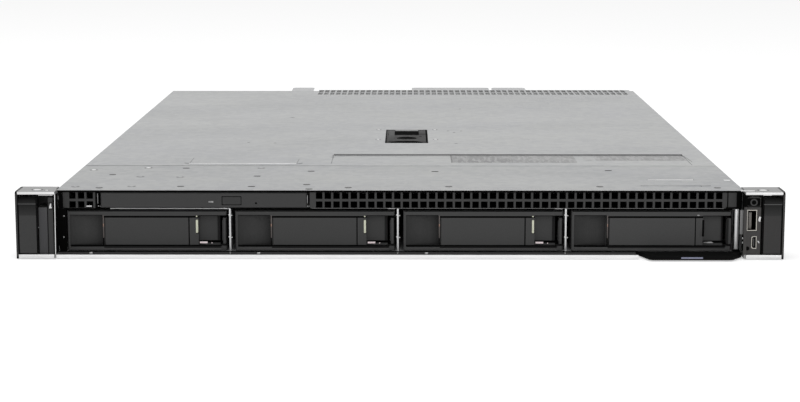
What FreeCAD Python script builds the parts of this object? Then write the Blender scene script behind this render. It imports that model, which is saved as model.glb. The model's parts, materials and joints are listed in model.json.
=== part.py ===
import FreeCAD, Part
import math
import os

# A one-unit rack server with four 3.5 inch drive bays, all sizes in millimetres.
# While it is built, X runs to the right as seen from the front, Y runs to the rear from the back faces
# of the rack flanges, and Z runs up from the underside. Export moves the origin to the base's centre.

# Overall
EAR_SPAN = 482.0
BODY_WIDTH = 434.0
BODY_HEIGHT = 42.0
EAR_HEIGHT = 42.8
RACK_HOLE_SPACING = 465.1
RACK_HOLE_HEIGHT = 21.4
SCREW_R = 2.5
SHEET = 1.0

# Depth stations
EAR_FRONT = -22.0
BODY_FRONT = -11.0
TAG_FRONT = -27.5
SEAM = 98.0
BODY_REAR = 594.6
REAR_REACH = 42.0
WALL_TOP = 40.8
LIP_INSET = 1.2
MIDDLE_Y = (TAG_FRONT + BODY_REAR + REAR_REACH) / 2

# Front strip above the bays
STRIP_LOW = 30.6
STRIP_TOP = 40.6
HOLE_PITCH = 5.49
HOLE_SIZE = 3.9
HOLE_ROWS = (32.75, 38.5)
GRILLE_FIRST = -51.0
GRILLE_COLUMNS = 47
VENT_FIRST = -207.0
VENT_COLUMNS = 3

# Drive bays and their blanks
BAY_COUNT = 4
BAY_PITCH = 106.15
FIRST_WALL = -213.6
BLANK_FIRST = -210.5
BLANK_PITCH = 106.35
BLANK_WIDTH = 100.8
BLANK_LOW = 3.3
BLANK_TOP = 28.8
BLANK_DEPTH = 50.0
BLANK_FACE = 8.0
POCKET_LOW = 6.0
POCKET_TOP = 26.2
POCKET_DEPTH = 6.4
CAGE_FLOOR = 2.5
CAGE_ROOF = 29.5
CAGE_DEPTH = 150.0
CAGE_SHEET = 0.6
WALL_HALF = 0.55
RELEASE_TRAVEL = 1.5

# Optical drive
OPTICAL_LEFT = -189.2
OPTICAL_RIGHT = -58.8
OPTICAL_DEPTH = 127.0
BUTTON_LEFT = -112.1
BUTTON_RIGHT = -100.5

# Cover latch
LATCH_CENTRE = 3.9
LATCH_WIDTH = 32.4
LATCH_FRONT = 217.5
LATCH_REAR = 298.2
LATCH_HINGE_Y = 294.8
LATCH_HINGE_Z = 38.9
LATCH_PIN_R = 1.5
LEVER_HALF = 2.9
LOCK_Y = 247.8
LOCK_R = 7.6
COVER_TRAVEL = 12.0
HALF_SQUARE = math.sin(math.radians(45))
CAM_REACH = COVER_TRAVEL / 2 / HALF_SQUARE
CAM_TIP_R = 1.4
RUNNING_GAP = 0.06

# Fans
FAN_COUNT = 6
FAN_PITCH = 66.0
FAN_FRONT = 182.0
FAN_DEPTH = 30.0
FAN_SIZE = 38.6
FAN_BORE_R = 17.6
FAN_TIP_R = 16.8
FAN_HUB_R = 9.0
FAN_BLADES = 5
FAN_AXIS_Z = 20.3

# Main board and what stands on it
BOARD_LEFT = -98.0
BOARD_RIGHT = 212.0
BOARD_FRONT = 318.0
BOARD_REAR = 588.0
BACKPLANE_FRONT = 164.0
BOARD_LOW = 5.0
BOARD_TOP = 6.6
PROCESSOR_X = (-8.0, 120.0)
PROCESSOR_Y = 398.0
SINK_WIDTH = 76.0
SINK_DEPTH = 92.0
SINK_TOP = 37.5
MEMORY_BANKS = (-90.0, 38.0, 166.0)
MEMORY_PER_BANK = 5
MEMORY_PITCH = 8.4
MEMORY_LENGTH = 133.3
CHIP_SPOTS = ((74.0, 514.0, 28.0, 8.0), (161.0, 531.0, 22.0, 3.0), (-52.0, 528.0, 16.0, 2.4))
CAPACITOR_COUNT = 4
CAPACITOR_PITCH = 11.0
COIN_CELL_X = 196.0
COIN_CELL_Y = 510.0
SHROUD_REAR = 468.0
SHROUD_TOP = 39.4

# Power supplies
SUPPLY_CENTRES = (-187.0, -131.0)
SUPPLY_WIDTH = 54.5
SUPPLY_LOW = 1.3
SUPPLY_TOP = 39.7
SUPPLY_LENGTH = 185.0
SUPPLY_GAP = 0.4
SUPPLY_BAY_TOP = 40.2
SUPPLY_END = 17.0
INTERPOSER_FRONT = 392.0
INLET_WIDTH = 27.2
INLET_HEIGHT = 19.8
INLET_DEPTH = 15.0

# Rear wall: left, right, bottom and top of each socket opening
NETWORK_SPOTS = (-92.0, -74.0, -46.0)
NETWORK_SIZE = (16.0, 15.0, 13.4)
USB_LEFT = -22.0
USB_WIDTH = 14.0
WALL_VENTS = 10
WALL_VENT_PITCH = 8.2
VIDEO_LEFT = 128.0
SERIAL_LEFT = 168.0
SHELL_WIDTH = 30.8
SLOT_SPANS = ((12.0, 80.0), (86.0, 116.0))
SLOT_LOW = 20.5
SLOT_TOP = 38.6
LIP_SPANS = ((-106.0, -85.5), (8.3, 82.0), (85.0, 117.0))

# Rear perforation of the top cover
ROOF_HOLES_FIRST = -76.9
ROOF_HOLES = 52
ROOF_PITCH = 5.56
ROOF_SLOT_FRONT = 561.4
ROOF_SLOT_REAR = 600.0
ROOF_BAR_Y = 578.6
ROOF_STEP = -79.6
ROOF_REAR = 603.6

# Right ear: power button and sockets
POWER_X = 221.6
POWER_Z = 36.1
USB_FRONT_X = 220.85
USB_FRONT_Z = 24.3
MICRO_X = 222.3
MICRO_Z = 10.6
PANEL_INNER = 217.4
PANEL_OUTER = 226.8
PANEL_FRONT = -20.6
POST_FACE_LEFT = 221.2
EAR_INNER = 217.3
HOOK_LEFT = 229.6
HOOK_RIGHT = 236.6
HOOK_LOW = 26.5
HOOK_TOP = 39.0
CLAW_LEFT = 230.6
CLAW_RIGHT = 235.6
CLAW_TOP = 31.4
LATCH_INNER = 227.5
LATCH_OUTER = 239.6
SIDE_PLATE = 239.8
SLAM_PIVOT_Y = -19.0
SLAM_PIVOT_Z = 6.2
SLAM_PIVOT_R = 1.4
SLAM_GAP = 0.12

# Information tag
TAG_LEFT = 150.6
TAG_RIGHT = 215.8
TAG_LOW = 0.5
TAG_TOP = 3.1


def vec(x, y, z):
    return FreeCAD.Vector(x, y, z)


X_AXIS = vec(1, 0, 0)
Y_AXIS = vec(0, 1, 0)
Z_AXIS = vec(0, 0, 1)


def block(x0, x1, y0, y1, z0, z1):
    """A box given by its low and high side on each axis."""
    return Part.makeBox(x1 - x0, y1 - y0, z1 - z0, vec(x0, y0, z0))


def rod(start, axis, radius, length):
    return Part.makeCylinder(radius, length, start, axis)


def faceted_rod(start, axis, radius, length, sides=12):
    """A rod with flat sides, for small or hidden round parts that repeat."""
    side = X_AXIS if abs(axis.z) > 0.5 else Z_AXIS
    other = axis.cross(side)
    points = []
    for index in range(sides):
        turn = 2 * math.pi * (index + 0.5) / sides
        points.append(start + side * (radius * math.cos(turn)) + other * (radius * math.sin(turn)))
    return prism(points, axis * length)


def prism(points, along):
    """The solid swept by a closed polygon along a vector."""
    wire = Part.makePolygon(points + [points[0]])
    return Part.Face(wire).extrude(along)


def plan_prism(outline, z0, z1):
    return prism([vec(x, y, z0) for x, y in outline], vec(0, 0, z1 - z0))


def side_prism(outline, x0, x1):
    """A profile in Y and Z swept from x0 to x1."""
    return prism([vec(x0, y, z) for y, z in outline], vec(x1 - x0, 0, 0))


def fused(shapes):
    if len(shapes) == 1:
        return shapes[0]
    return shapes[0].multiFuse(shapes[1:]).removeSplitter()


def carved(body, tools):
    return body.cut(Part.makeCompound(tools))


def group(shapes):
    return Part.makeCompound(shapes)


def rounded(shape, radius, wanted):
    """The shape with a fillet on each edge that the wanted test picks."""
    edges = [edge for edge in shape.Edges if wanted(edge)]
    return shape.makeFillet(radius, edges)


def bevelled(shape, size, wanted):
    """The shape with a chamfer on each edge that the wanted test picks."""
    edges = [edge for edge in shape.Edges if wanted(edge)]
    return shape.makeChamfer(size, edges)


def runs_along(edge, axis):
    if edge.Curve.TypeId != "Part::GeomLine":
        return False
    return abs(edge.tangentAt(edge.FirstParameter).dot(axis)) > 0.999


def hole_grid(first_x, columns, pitch, rows, y0, y1, height=HOLE_SIZE):
    """Through-holes along Y, in rows at the given heights, square unless a height is given."""
    half = HOLE_SIZE / 2
    holes = []
    for row in rows:
        for column in range(columns):
            x = first_x + column * pitch
            holes.append(block(x - half, x + half, y0, y1, row - height / 2, row + height / 2))
    return holes


def mirrored(shape):
    return shape.mirror(vec(0, 0, 0), X_AXIS)


# Chassis

def chassis_tub():
    """The floor pan with its front lip and hem, the side walls, the latch post and the board standoffs."""
    half = BODY_WIDTH / 2
    lip_left = -half + LIP_INSET
    lip_right = TAG_LEFT - 0.6
    lip_front = EAR_FRONT + 0.4
    plates = [
        block(-half, half, BODY_FRONT, BODY_REAR, 0, SHEET),
        block(lip_left, lip_right, lip_front, BODY_FRONT, 0, SHEET),
        block(lip_left, lip_right, lip_front, lip_front + SHEET, SHEET, 2.6),
    ]
    for left in (-half, half - SHEET):
        plates.append(block(left, left + SHEET, BODY_FRONT, BODY_REAR, SHEET, WALL_TOP))
    standoffs = []
    for x in (BOARD_LEFT + 12, 57.0, BOARD_RIGHT - 12):
        for y in (BOARD_FRONT + 12, BOARD_REAR - 22):
            standoffs.append(faceted_rod(vec(x, y, SHEET), Z_AXIS, 3.0, BOARD_LOW - SHEET, 6))
    return group(plates + [latch_post()] + standoffs)


def rear_wall():
    """The socket panel with its turned-out lips, and the slim frame round the two supplies."""
    inner = BODY_WIDTH / 2 - SHEET
    y0 = BODY_REAR - SHEET
    gap = SUPPLY_WIDTH / 2 + SUPPLY_GAP
    first, second = SUPPLY_CENTRES
    panel = block(second + gap, inner, y0, BODY_REAR, SHEET, WALL_TOP)
    frame = [
        block(-inner, second + gap, y0, BODY_REAR, SUPPLY_BAY_TOP, WALL_TOP),
        block(-inner, first - gap, y0, BODY_REAR, SHEET, SUPPLY_BAY_TOP),
        block(first + gap, second - gap, y0, BODY_REAR, SHEET, SUPPLY_BAY_TOP),
    ]
    lips = [rear_lip(left, right) for left, right in LIP_SPANS]
    return group([carved(panel, rear_openings())] + frame + lips)


def rear_openings():
    """What is cut out of the socket panel."""
    y0 = BODY_REAR - 2 * SHEET
    y1 = BODY_REAR + SHEET
    low = BOARD_TOP - 0.3
    width, _, height = NETWORK_SIZE
    cuts = [block(left - 0.3, left + width + 0.3, y0, y1, low, low + height + 0.6) for left in NETWORK_SPOTS]
    cuts.append(block(USB_LEFT - 0.3, USB_LEFT + USB_WIDTH + 0.3, y0, y1, low, BOARD_TOP + 15.9))
    for left in (VIDEO_LEFT, SERIAL_LEFT):
        cuts.append(block(left - 0.4, left + SHELL_WIDTH + 0.4, y0, y1, low, BOARD_TOP + 12.9))
    for left, right in SLOT_SPANS:
        cuts.append(block(left, right, y0, y1, SLOT_LOW, SLOT_TOP))
    return cuts + hole_grid(128.0, WALL_VENTS, WALL_VENT_PITCH, (31.0,), y0, y1, 13.0)


def rear_lip(left, right):
    """A flat lip turned rearwards at the top of the rear wall, with rounded corners."""
    y1 = BODY_REAR + REAR_REACH
    plate = block(left, right, BODY_REAR, y1, 40.0, WALL_TOP)
    return rounded(plate, 4.0, lambda edge: runs_along(edge, Z_AXIS) and edge.Vertexes[0].Y > BODY_REAR + 1)


def latch_post():
    """The fixed post that the cover latch's cam pushes against."""
    y1 = LATCH_HINGE_Y + COVER_TRAVEL / 2 - CAM_TIP_R - 0.4
    upright = block(LATCH_CENTRE - 3, LATCH_CENTRE + 3, y1 - 3, y1, SHEET, 32.0)
    foot = block(LATCH_CENTRE - 8, LATCH_CENTRE + 8, y1 - 16, y1, SHEET, 2.5)
    web = side_prism([(y1 - 14, 2.0), (y1 - 2, 2.0), (y1 - 2, 26.0)], LATCH_CENTRE - 0.8, LATCH_CENTRE + 0.8)
    return fused([upright, foot, web])


def front_top_plate():
    half = BODY_WIDTH / 2
    plate = block(-half, half, BODY_FRONT, SEAM - 0.2, 41.0, BODY_HEIGHT)
    hem = block(-half, half, BODY_FRONT, BODY_FRONT + SHEET, 40.8, 41.0)
    cuts = []
    for side in (-1, 1):
        edge = side * half
        inner = edge - side * 2.4
        cuts.append(block(min(edge, inner), max(edge, inner), 28.0, 33.0, 40.0, 43.0))
    raised = plan_prism([(161, 30), (192, 30), (199, 8), (154, 8)], BODY_HEIGHT, BODY_HEIGHT + 0.35)
    return fused([carved(fused([plate, hem]), cuts), raised])


def rail_studs():
    """Headed studs on both sides that hang in the rack rails."""
    studs = []
    for side in (-1, 1):
        for y in (60.0, 300.0, 540.0):
            start = vec(side * BODY_WIDTH / 2, y, 22.0)
            axis = vec(side, 0, 0)
            neck = faceted_rod(start, axis, 2.6, 2.4, 6)
            head = faceted_rod(start + axis * 2.4, axis, 4.4, 1.6, 10)
            studs.append(fused([neck, head]))
    return group(studs)


def bay_cage():
    """Welded plates that part the four bays, with the rolled edge at the right."""
    left = FIRST_WALL
    right = FIRST_WALL + BAY_COUNT * BAY_PITCH
    front = BODY_FRONT
    back = CAGE_DEPTH
    floor_top = CAGE_FLOOR + CAGE_SHEET
    plates = [
        block(left, right, front + 1.0, back, CAGE_FLOOR, floor_top),
        block(left, right, front + 3.0, back, CAGE_ROOF, CAGE_ROOF + CAGE_SHEET),
    ]
    for number in range(BAY_COUNT + 1):
        x = FIRST_WALL + number * BAY_PITCH
        foot = SHEET if number < BAY_COUNT else CAGE_FLOOR
        outline = [(front - 0.4, foot), (front + 1.0, foot), (front + 1.0, floor_top), (back, floor_top),
                   (back, CAGE_ROOF), (front + 3.0, CAGE_ROOF), (front + 3.0, 30.3), (front - 0.4, 30.3)]
        plates.append(side_prism(outline, x - WALL_HALF, x + WALL_HALF))
    for number in range(BAY_COUNT):
        x0 = FIRST_WALL + number * BAY_PITCH + WALL_HALF
        x1 = min(x0 + BAY_PITCH - 2 * WALL_HALF, TAG_LEFT - 1.0)
        plates.append(block(x0, x1, front, front + 1.0, SHEET, floor_top))
    plates.append(faceted_rod(vec(right + 2.5, front + 1.6, CAGE_FLOOR), Z_AXIS, 1.95, 27.5, 16))
    return group(plates)


def front_grilles():
    """The perforated strip over the bays and the small one at its left."""
    half = HOLE_SIZE / 2
    y0 = BODY_FRONT + 0.6
    y1 = y0 + 2.0
    strip_left = GRILLE_FIRST - half - 4.0
    strip_right = 213.5
    strip = block(strip_left, strip_right, y0, y1, STRIP_LOW - 0.1, STRIP_TOP)
    holes = hole_grid(GRILLE_FIRST, GRILLE_COLUMNS, HOLE_PITCH, HOLE_ROWS, y0 - 1, y1 + 1)
    step = block(206.6, 207.2, y0 - 1, y0 + 0.5, STRIP_LOW - 1, STRIP_TOP + 1)
    strip = carved(strip, holes + [step])
    vent = block(-213.0, OPTICAL_LEFT - 3.4, y0, y1, STRIP_LOW - 0.1, STRIP_TOP)
    vent = carved(vent, hole_grid(VENT_FIRST, VENT_COLUMNS, HOLE_PITCH, HOLE_ROWS, y0 - 1, y1 + 1))
    return group([strip, vent])


# Drive blanks

def drive_blank(left):
    """A moulded filler, open at the back, with a finger pocket at each end of its face."""
    right = left + BLANK_WIDTH
    front = BODY_FRONT
    back = front + BLANK_DEPTH
    face = block(left, right, front, front + BLANK_FACE, BLANK_LOW, BLANK_TOP)
    face = bevelled(face, 0.5, lambda edge: edge.BoundBox.YMax < front + 0.1)
    tray = block(left, right, front + BLANK_FACE, back, BLANK_LOW, BLANK_TOP)
    inside = block(left + 1.4, right - 1.4, front + BLANK_FACE, back + 1, BLANK_LOW + 1.4, BLANK_TOP - 1.4)
    body = fused([face, carved(tray, [inside])])
    pocket = finger_pocket(left)
    slit = block(left + 22.1, left + 24.0, front - 1, front + 6.4, 6.3, 25.6)
    rims = [
        block(left + 24.0, left + 83.0, front - 1, front + 1.3, 24.8, 25.6),
        block(left + 24.0, left + 83.0, front - 1, front + 1.3, 6.3, 7.1),
        block(left + 76.6, left + 77.4, front - 1, front + 0.9, 7.1, 24.8),
    ]
    latch_pocket = block(left + 83.0, left + 96.4, front - 1, front + 5.6, 8.5, 26.0)
    light_slot = block(left + 81.3, left + 83.1, front - 1, front + 3.0, 14.2, 23.4)
    under_slot = block(left + 83.0, left + 97.0, front - 1, front + 4.6, 6.3, 8.5)
    release_way = block(left + 97.8 - RELEASE_TRAVEL, right + 1, front - 1, front + 33, 6.3, 26.0)
    return carved(body, [pocket, slit, latch_pocket, light_slot, under_slot, release_way] + rims)


def finger_pocket(left):
    """The scooped hollow at a blank's left end, as deep as the face plate allows."""
    front = BODY_FRONT
    rim = vec(left + 1.6, front + 0.6, POCKET_LOW)
    bend = vec(left + 5.4, front + 4.4, POCKET_LOW)
    floor_start = vec(left + 13.0, front + POCKET_DEPTH, POCKET_LOW)
    corners = [floor_start, vec(left + 22.2, front + POCKET_DEPTH, POCKET_LOW),
               vec(left + 22.2, front - 1, POCKET_LOW), vec(left + 1.6, front - 1, POCKET_LOW), rim]
    edges = [Part.Arc(rim, bend, floor_start).toShape()]
    edges += [Part.makeLine(start, end) for start, end in zip(corners, corners[1:])]
    return Part.Face(Part.Wire(edges)).extrude(Z_AXIS * (POCKET_TOP - POCKET_LOW))


def blank_release(left):
    """The sprung bar at the blank's right end, with the arm and the hook that hold the blank in its bay."""
    front = BODY_FRONT
    x1 = left + 100.4
    x0 = x1 - 2.0
    bar = block(x0, x1, front, front + 9.0, 7.8, 24.2)
    bar = bevelled(bar, 0.4, lambda edge: runs_along(edge, Z_AXIS) and edge.Vertexes[0].Y < front + 0.1)
    arm = block(x0 + 0.6, x1, front + 9.0, front + 30.0, 11.0, 21.0)
    tip = x1 + 1.2
    hook_outline = [(x1, front + 20.0), (tip, front + 23.0), (tip, front + 24.5), (x1, front + 24.5)]
    hook = plan_prism(hook_outline, 12.5, 19.5)
    ridge = block(x0 - 0.5, x0, front + 1.4, front + 2.2, 9.5, 22.5)
    return fused([bar, arm, hook, ridge])


# Optical drive

def optical_drive_body():
    """The drive's sheet-metal shell, open at the front for its tray."""
    front = BODY_FRONT + 4.5
    shell = block(OPTICAL_LEFT + 1.0, OPTICAL_RIGHT - 1.0, front, front + OPTICAL_DEPTH, 30.7, 40.3)
    room = block(OPTICAL_LEFT + 1.8, OPTICAL_RIGHT - 1.8, front - 1, front + OPTICAL_DEPTH - 2.0, 31.4, 39.7)
    brackets = []
    for x in (OPTICAL_LEFT - 1.8, OPTICAL_RIGHT - 1.0):
        brackets.append(block(x, x + 2.8, front + 2, front + 60, 30.2, 30.9))
    return fused([carved(shell, [room])] + brackets)


def optical_tray():
    """The bezel and the disc tray behind it, with the disc recess and the spindle."""
    front = BODY_FRONT
    bezel = block(OPTICAL_LEFT, OPTICAL_RIGHT, front, front + 4.0, STRIP_LOW, 40.5)
    bezel = bevelled(bezel, 0.6, lambda edge: edge.BoundBox.YMax < front + 0.1)
    left = OPTICAL_LEFT + 3.0
    right = OPTICAL_RIGHT - 3.0
    back = front + OPTICAL_DEPTH - 4.0
    tray = block(left, right, front + 3.8, back, 32.4, 36.0)
    disc_y = (front + 4.0 + back) / 2
    disc_x = (left + right) / 2
    disc = faceted_rod(vec(disc_x, disc_y, 34.4), Z_AXIS, 60.2, 4.0, 30)
    spindle = faceted_rod(vec(disc_x, disc_y, 34.0), Z_AXIS, 7.4, 1.9, 12)
    tray = fused([carved(tray, [disc]), spindle])
    button = block(BUTTON_LEFT - 0.3, BUTTON_RIGHT + 0.3, front - 1, front + 3.0, 32.6, 38.0)
    pin_hole = faceted_rod(vec(-90.9, front - 1, 33.7), Y_AXIS, 0.7, 4.0, 8)
    lamp = block(-121.1, -117.8, front - 1, front + 0.6, 34.0, 35.1)
    return fused([carved(bezel, [button, pin_hole, lamp]), tray])


def optical_eject_button():
    front = BODY_FRONT
    plate = block(BUTTON_LEFT, BUTTON_RIGHT, front - 0.1, front + 1.8, 32.9, 37.7)
    return bevelled(plate, 0.4, lambda edge: runs_along(edge, Y_AXIS))


# Rack ears, drawn for the right side

def ear_bracket():
    """The bright sheet-metal ear: top and bottom wings, inner edge, and the flange on the rack post."""
    outer = SIDE_PLATE - 0.1
    top = plan_prism([(216.2, EAR_FRONT), (outer, EAR_FRONT), (outer, -SHEET), (EAR_INNER, -SHEET),
                      (EAR_INNER, BODY_FRONT - 0.3), (216.2, BODY_FRONT - 0.3)], 41.0, EAR_HEIGHT - 0.2)
    bottom = block(EAR_INNER, outer, EAR_FRONT, -SHEET, 0.4, 2.2)
    front_hem = block(EAR_INNER, outer, EAR_FRONT, EAR_FRONT + 1.0, 0.4, 2.8)
    inner_edge = block(216.1, 217.2, EAR_FRONT + 0.6, BODY_FRONT - 0.2, 0.4, 41.0)
    side_return = block(217.05, 218.2, -SHEET, 19.0, 2.0, 41.0)
    flange = block(217.05, EAR_SPAN / 2 - 0.2, -2.0, 0, 0.4, EAR_HEIGHT - 0.2)
    clear_of_post = block(218.2, POST_FACE_LEFT, -0.4, 1.0, 0, EAR_HEIGHT)
    bracket = fused([top, bottom, front_hem, inner_edge, side_return, flange]).cut(clear_of_post)
    screw_hole = faceted_rod(vec(RACK_HOLE_SPACING / 2, -3, RACK_HOLE_HEIGHT), Y_AXIS, 3.6, 4, 12)
    hook_slot = block(HOOK_LEFT, HOOK_RIGHT, -3, 1, HOOK_LOW, HOOK_TOP)
    return carved(bracket, [screw_hole, hook_slot])


def ear_back_shell():
    """The black moulding's back wall and outer side plate."""
    back = block(PANEL_INNER, SIDE_PLATE, -5.0, -2.1, 2.3, 40.9)
    side = block(SIDE_PLATE, EAR_SPAN / 2, EAR_FRONT - 0.2, -2.1, 0.4, EAR_HEIGHT)
    side = bevelled(side, 1.6, lambda edge: runs_along(edge, X_AXIS) and edge.Vertexes[0].Y < -15)
    step_left = PANEL_INNER + 0.9
    step_outline = [(step_left, 0.1), (220.6, 0.1), (220.6, 6.2), (219.0, 7.8), (step_left, 7.8)]
    step = plan_prism(step_outline, 4.0, 40.6)
    screw_hole = faceted_rod(vec(RACK_HOLE_SPACING / 2, -6, RACK_HOLE_HEIGHT), Y_AXIS, 5.4, 6, 12)
    hook_slot = block(HOOK_LEFT, HOOK_RIGHT, -6, 0, HOOK_LOW, HOOK_TOP)
    return carved(fused([back, side]), [screw_hole, hook_slot]), step


def right_ear_panel():
    """The right ear's moulding with the recess of the power button and the two socket mouths."""
    shell, step = ear_back_shell()
    panel = block(PANEL_INNER, PANEL_OUTER, PANEL_FRONT, -4.9, 2.3, 39.2)
    crown = block(PANEL_INNER + 0.2, PANEL_OUTER - 0.9, PANEL_FRONT - 0.4, PANEL_FRONT, 33.6, 39.0)
    button_way = faceted_rod(vec(POWER_X, PANEL_FRONT - 1, POWER_Z), Y_AXIS, 2.5, 6.0, 20)
    mouth = PANEL_FRONT - 1
    usb_way = block(USB_FRONT_X - 3.4, USB_FRONT_X + 3.4, mouth, -6.0, USB_FRONT_Z - 6.9, USB_FRONT_Z + 6.9)
    micro_way = block(MICRO_X - 1.9, MICRO_X + 1.9, mouth, -12.0, MICRO_Z - 4.2, MICRO_Z + 4.2)
    reset = faceted_rod(vec(218.9, PANEL_FRONT - 1, 6.3), Y_AXIS, 1.1, 4.0, 8)
    body = fused([shell, panel, crown] + slam_pins())
    return group([carved(body, [button_way, usb_way, micro_way, reset]), step])


def left_ear_panel():
    """The left ear's moulding: a low wide panel and a tall narrow one with the status button."""
    shell, step = ear_back_shell()
    wide = block(221.3, PANEL_OUTER, PANEL_FRONT, -4.9, 2.3, 32.6)
    narrow = block(PANEL_INNER, 220.6, PANEL_FRONT, -4.9, 2.3, 38.8)
    web = block(220.0, 221.6, PANEL_FRONT + 1.6, -4.9, 2.3, 32.0)
    button_way = block(217.8, 220.2, PANEL_FRONT - 1, PANEL_FRONT + 4.0, 31.3, 35.7)
    body = fused([shell, wide, narrow, web] + slam_pins())
    return mirrored(group([carved(body, [button_way]), step]))


def power_button():
    return faceted_rod(vec(POWER_X, PANEL_FRONT - 0.5, POWER_Z), Y_AXIS, 2.3, 4.0, 20)


def status_button():
    cap = block(-220.1, -217.9, PANEL_FRONT - 0.4, PANEL_FRONT + 2.6, 31.5, 35.5)
    return bevelled(cap, 0.7, lambda edge: runs_along(edge, Y_AXIS))


def socket_shell(width, height, depth, wall):
    """A rectangular metal sleeve with its mouth at y = 0 and its centre on the Y axis."""
    half_w = width / 2
    half_h = height / 2
    outer = block(-half_w, half_w, 0, depth, -half_h, half_h)
    inner = block(wall - half_w, half_w - wall, -1, depth - wall, wall - half_h, half_h - wall)
    return carved(outer, [inner])


def front_usb_socket():
    shell = socket_shell(6.5, 13.5, 14.0, 0.6)
    tongue = block(-2.0, -0.2, 2.0, 13.6, -5.2, 5.2)
    socket = fused([shell, tongue])
    socket.translate(vec(USB_FRONT_X, PANEL_FRONT - 0.2, USB_FRONT_Z))
    return socket


def front_micro_socket():
    """A small upright five-sided sleeve with its tongue."""
    outline = [(-1.7, -3.2), (-0.6, -4.1), (1.7, -4.1), (1.7, 4.1), (-0.6, 4.1), (-1.7, 3.2)]
    inner = [(x * 0.72, z * 0.88) for x, z in outline]
    outer_body = prism([vec(x, 0, z) for x, z in outline], vec(0, 7.5, 0))
    inner_body = prism([vec(x, -1, z) for x, z in inner], vec(0, 7.8, 0))
    tongue = block(-0.3, 0.3, 1.2, 7.2, -2.6, 2.6)
    socket = fused([outer_body.cut(inner_body), tongue])
    socket.translate(vec(MICRO_X, PANEL_FRONT - 0.2, MICRO_Z))
    return socket


def slam_latch():
    """The sprung ear lever: front grip, ribs with low pivot bores, guard, and the hook on the rack post."""
    front = EAR_FRONT + 0.2
    inside = EAR_FRONT + 3.0
    grip_outline = [(front, 3.6), (front, 34.6), (front + 3.2, 38.6), (front + 5.4, 38.6), (inside, 33.6),
                    (inside, 3.6)]
    grip = side_prism(grip_outline, LATCH_INNER, LATCH_OUTER)
    root = inside - 0.1
    rib_outline = [(root, 3.6), (inside + 2.0, 3.8), (inside + 3.2, 6.0), (inside + 3.2, 28.0), (root, 33.0)]
    ribs = [side_prism(rib_outline, x, x + 1.6) for x in (LATCH_INNER, LATCH_OUTER - 1.6)]
    arm = block(CLAW_LEFT, CLAW_RIGHT, root, 3.4, CLAW_TOP - 2.2, CLAW_TOP)
    claw_outline = [(2.0, 27.6), (3.4, 27.6), (5.2, 30.0), (3.4, CLAW_TOP), (2.0, CLAW_TOP)]
    claw = side_prism(claw_outline, CLAW_LEFT, CLAW_RIGHT)
    finger_guard = block(229.4, 236.4, -9.0, -7.4, 31.0, 38.4)
    start = vec(LATCH_INNER - 1, SLAM_PIVOT_Y, SLAM_PIVOT_Z)
    bore = faceted_rod(start, X_AXIS, SLAM_PIVOT_R + SLAM_GAP, LATCH_OUTER - LATCH_INNER + 2)
    return fused([grip, arm, claw, finger_guard] + ribs).cut(bore)


def slam_pins():
    """The stub axles that carry the slam latch, one on the panel and one on the side plate."""
    inner = faceted_rod(vec(PANEL_OUTER - 0.4, SLAM_PIVOT_Y, SLAM_PIVOT_Z), X_AXIS, SLAM_PIVOT_R, 2.3)
    outer = rod(vec(LATCH_OUTER - 1.4, SLAM_PIVOT_Y, SLAM_PIVOT_Z), X_AXIS, SLAM_PIVOT_R, 1.9)
    return [inner, outer]


def captive_screws():
    """One hard-mount screw in each ear, reached with the latch swung open."""
    screws = []
    for side in (-1, 1):
        x = side * RACK_HOLE_SPACING / 2
        start = vec(x, -6.6, RACK_HOLE_HEIGHT)
        head = faceted_rod(start, Y_AXIS, 4.4, 4.0, 12)
        thread = rod(start + vec(0, 3.9, 0), Y_AXIS, SCREW_R, 10.7)
        slot = block(x - 3.2, x + 3.2, start.y - 1, start.y + 1.6, start.z - 0.6, start.z + 0.6)
        screws.append(fused([head, thread]).cut(slot))
    return group(screws)


# Information tag

def information_tag():
    outline = [(TAG_LEFT, -11.6), (TAG_LEFT + 1.8, -15.4), (TAG_LEFT + 5.6, TAG_FRONT + 1.4),
               (TAG_LEFT + 7.6, TAG_FRONT), (TAG_RIGHT - 9.4, TAG_FRONT), (TAG_RIGHT - 7.4, TAG_FRONT + 0.6),
               (TAG_RIGHT - 0.6, -17.4), (TAG_RIGHT, -11.6)]
    head = plan_prism(outline, TAG_LOW, TAG_TOP)
    head = bevelled(head, 0.6, lambda edge: edge.BoundBox.ZMin > TAG_TOP - 0.1 and edge.BoundBox.YMax < -12.0)
    film_seat = block(176.0, 191.0, TAG_FRONT - 1, TAG_FRONT + 0.2, 1.1, 2.4)
    plate = block(TAG_LEFT + 3.4, TAG_RIGHT - 5.2, -11.7, 75.0, SHEET + 0.15, SHEET + 1.35)
    catch = block(TAG_LEFT + 3.0, TAG_LEFT + 3.5, 66.0, 72.0, SHEET + 0.15, SHEET + 1.35)
    return fused([head, plate, catch]).cut(film_seat)


# Top cover and its latch

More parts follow.
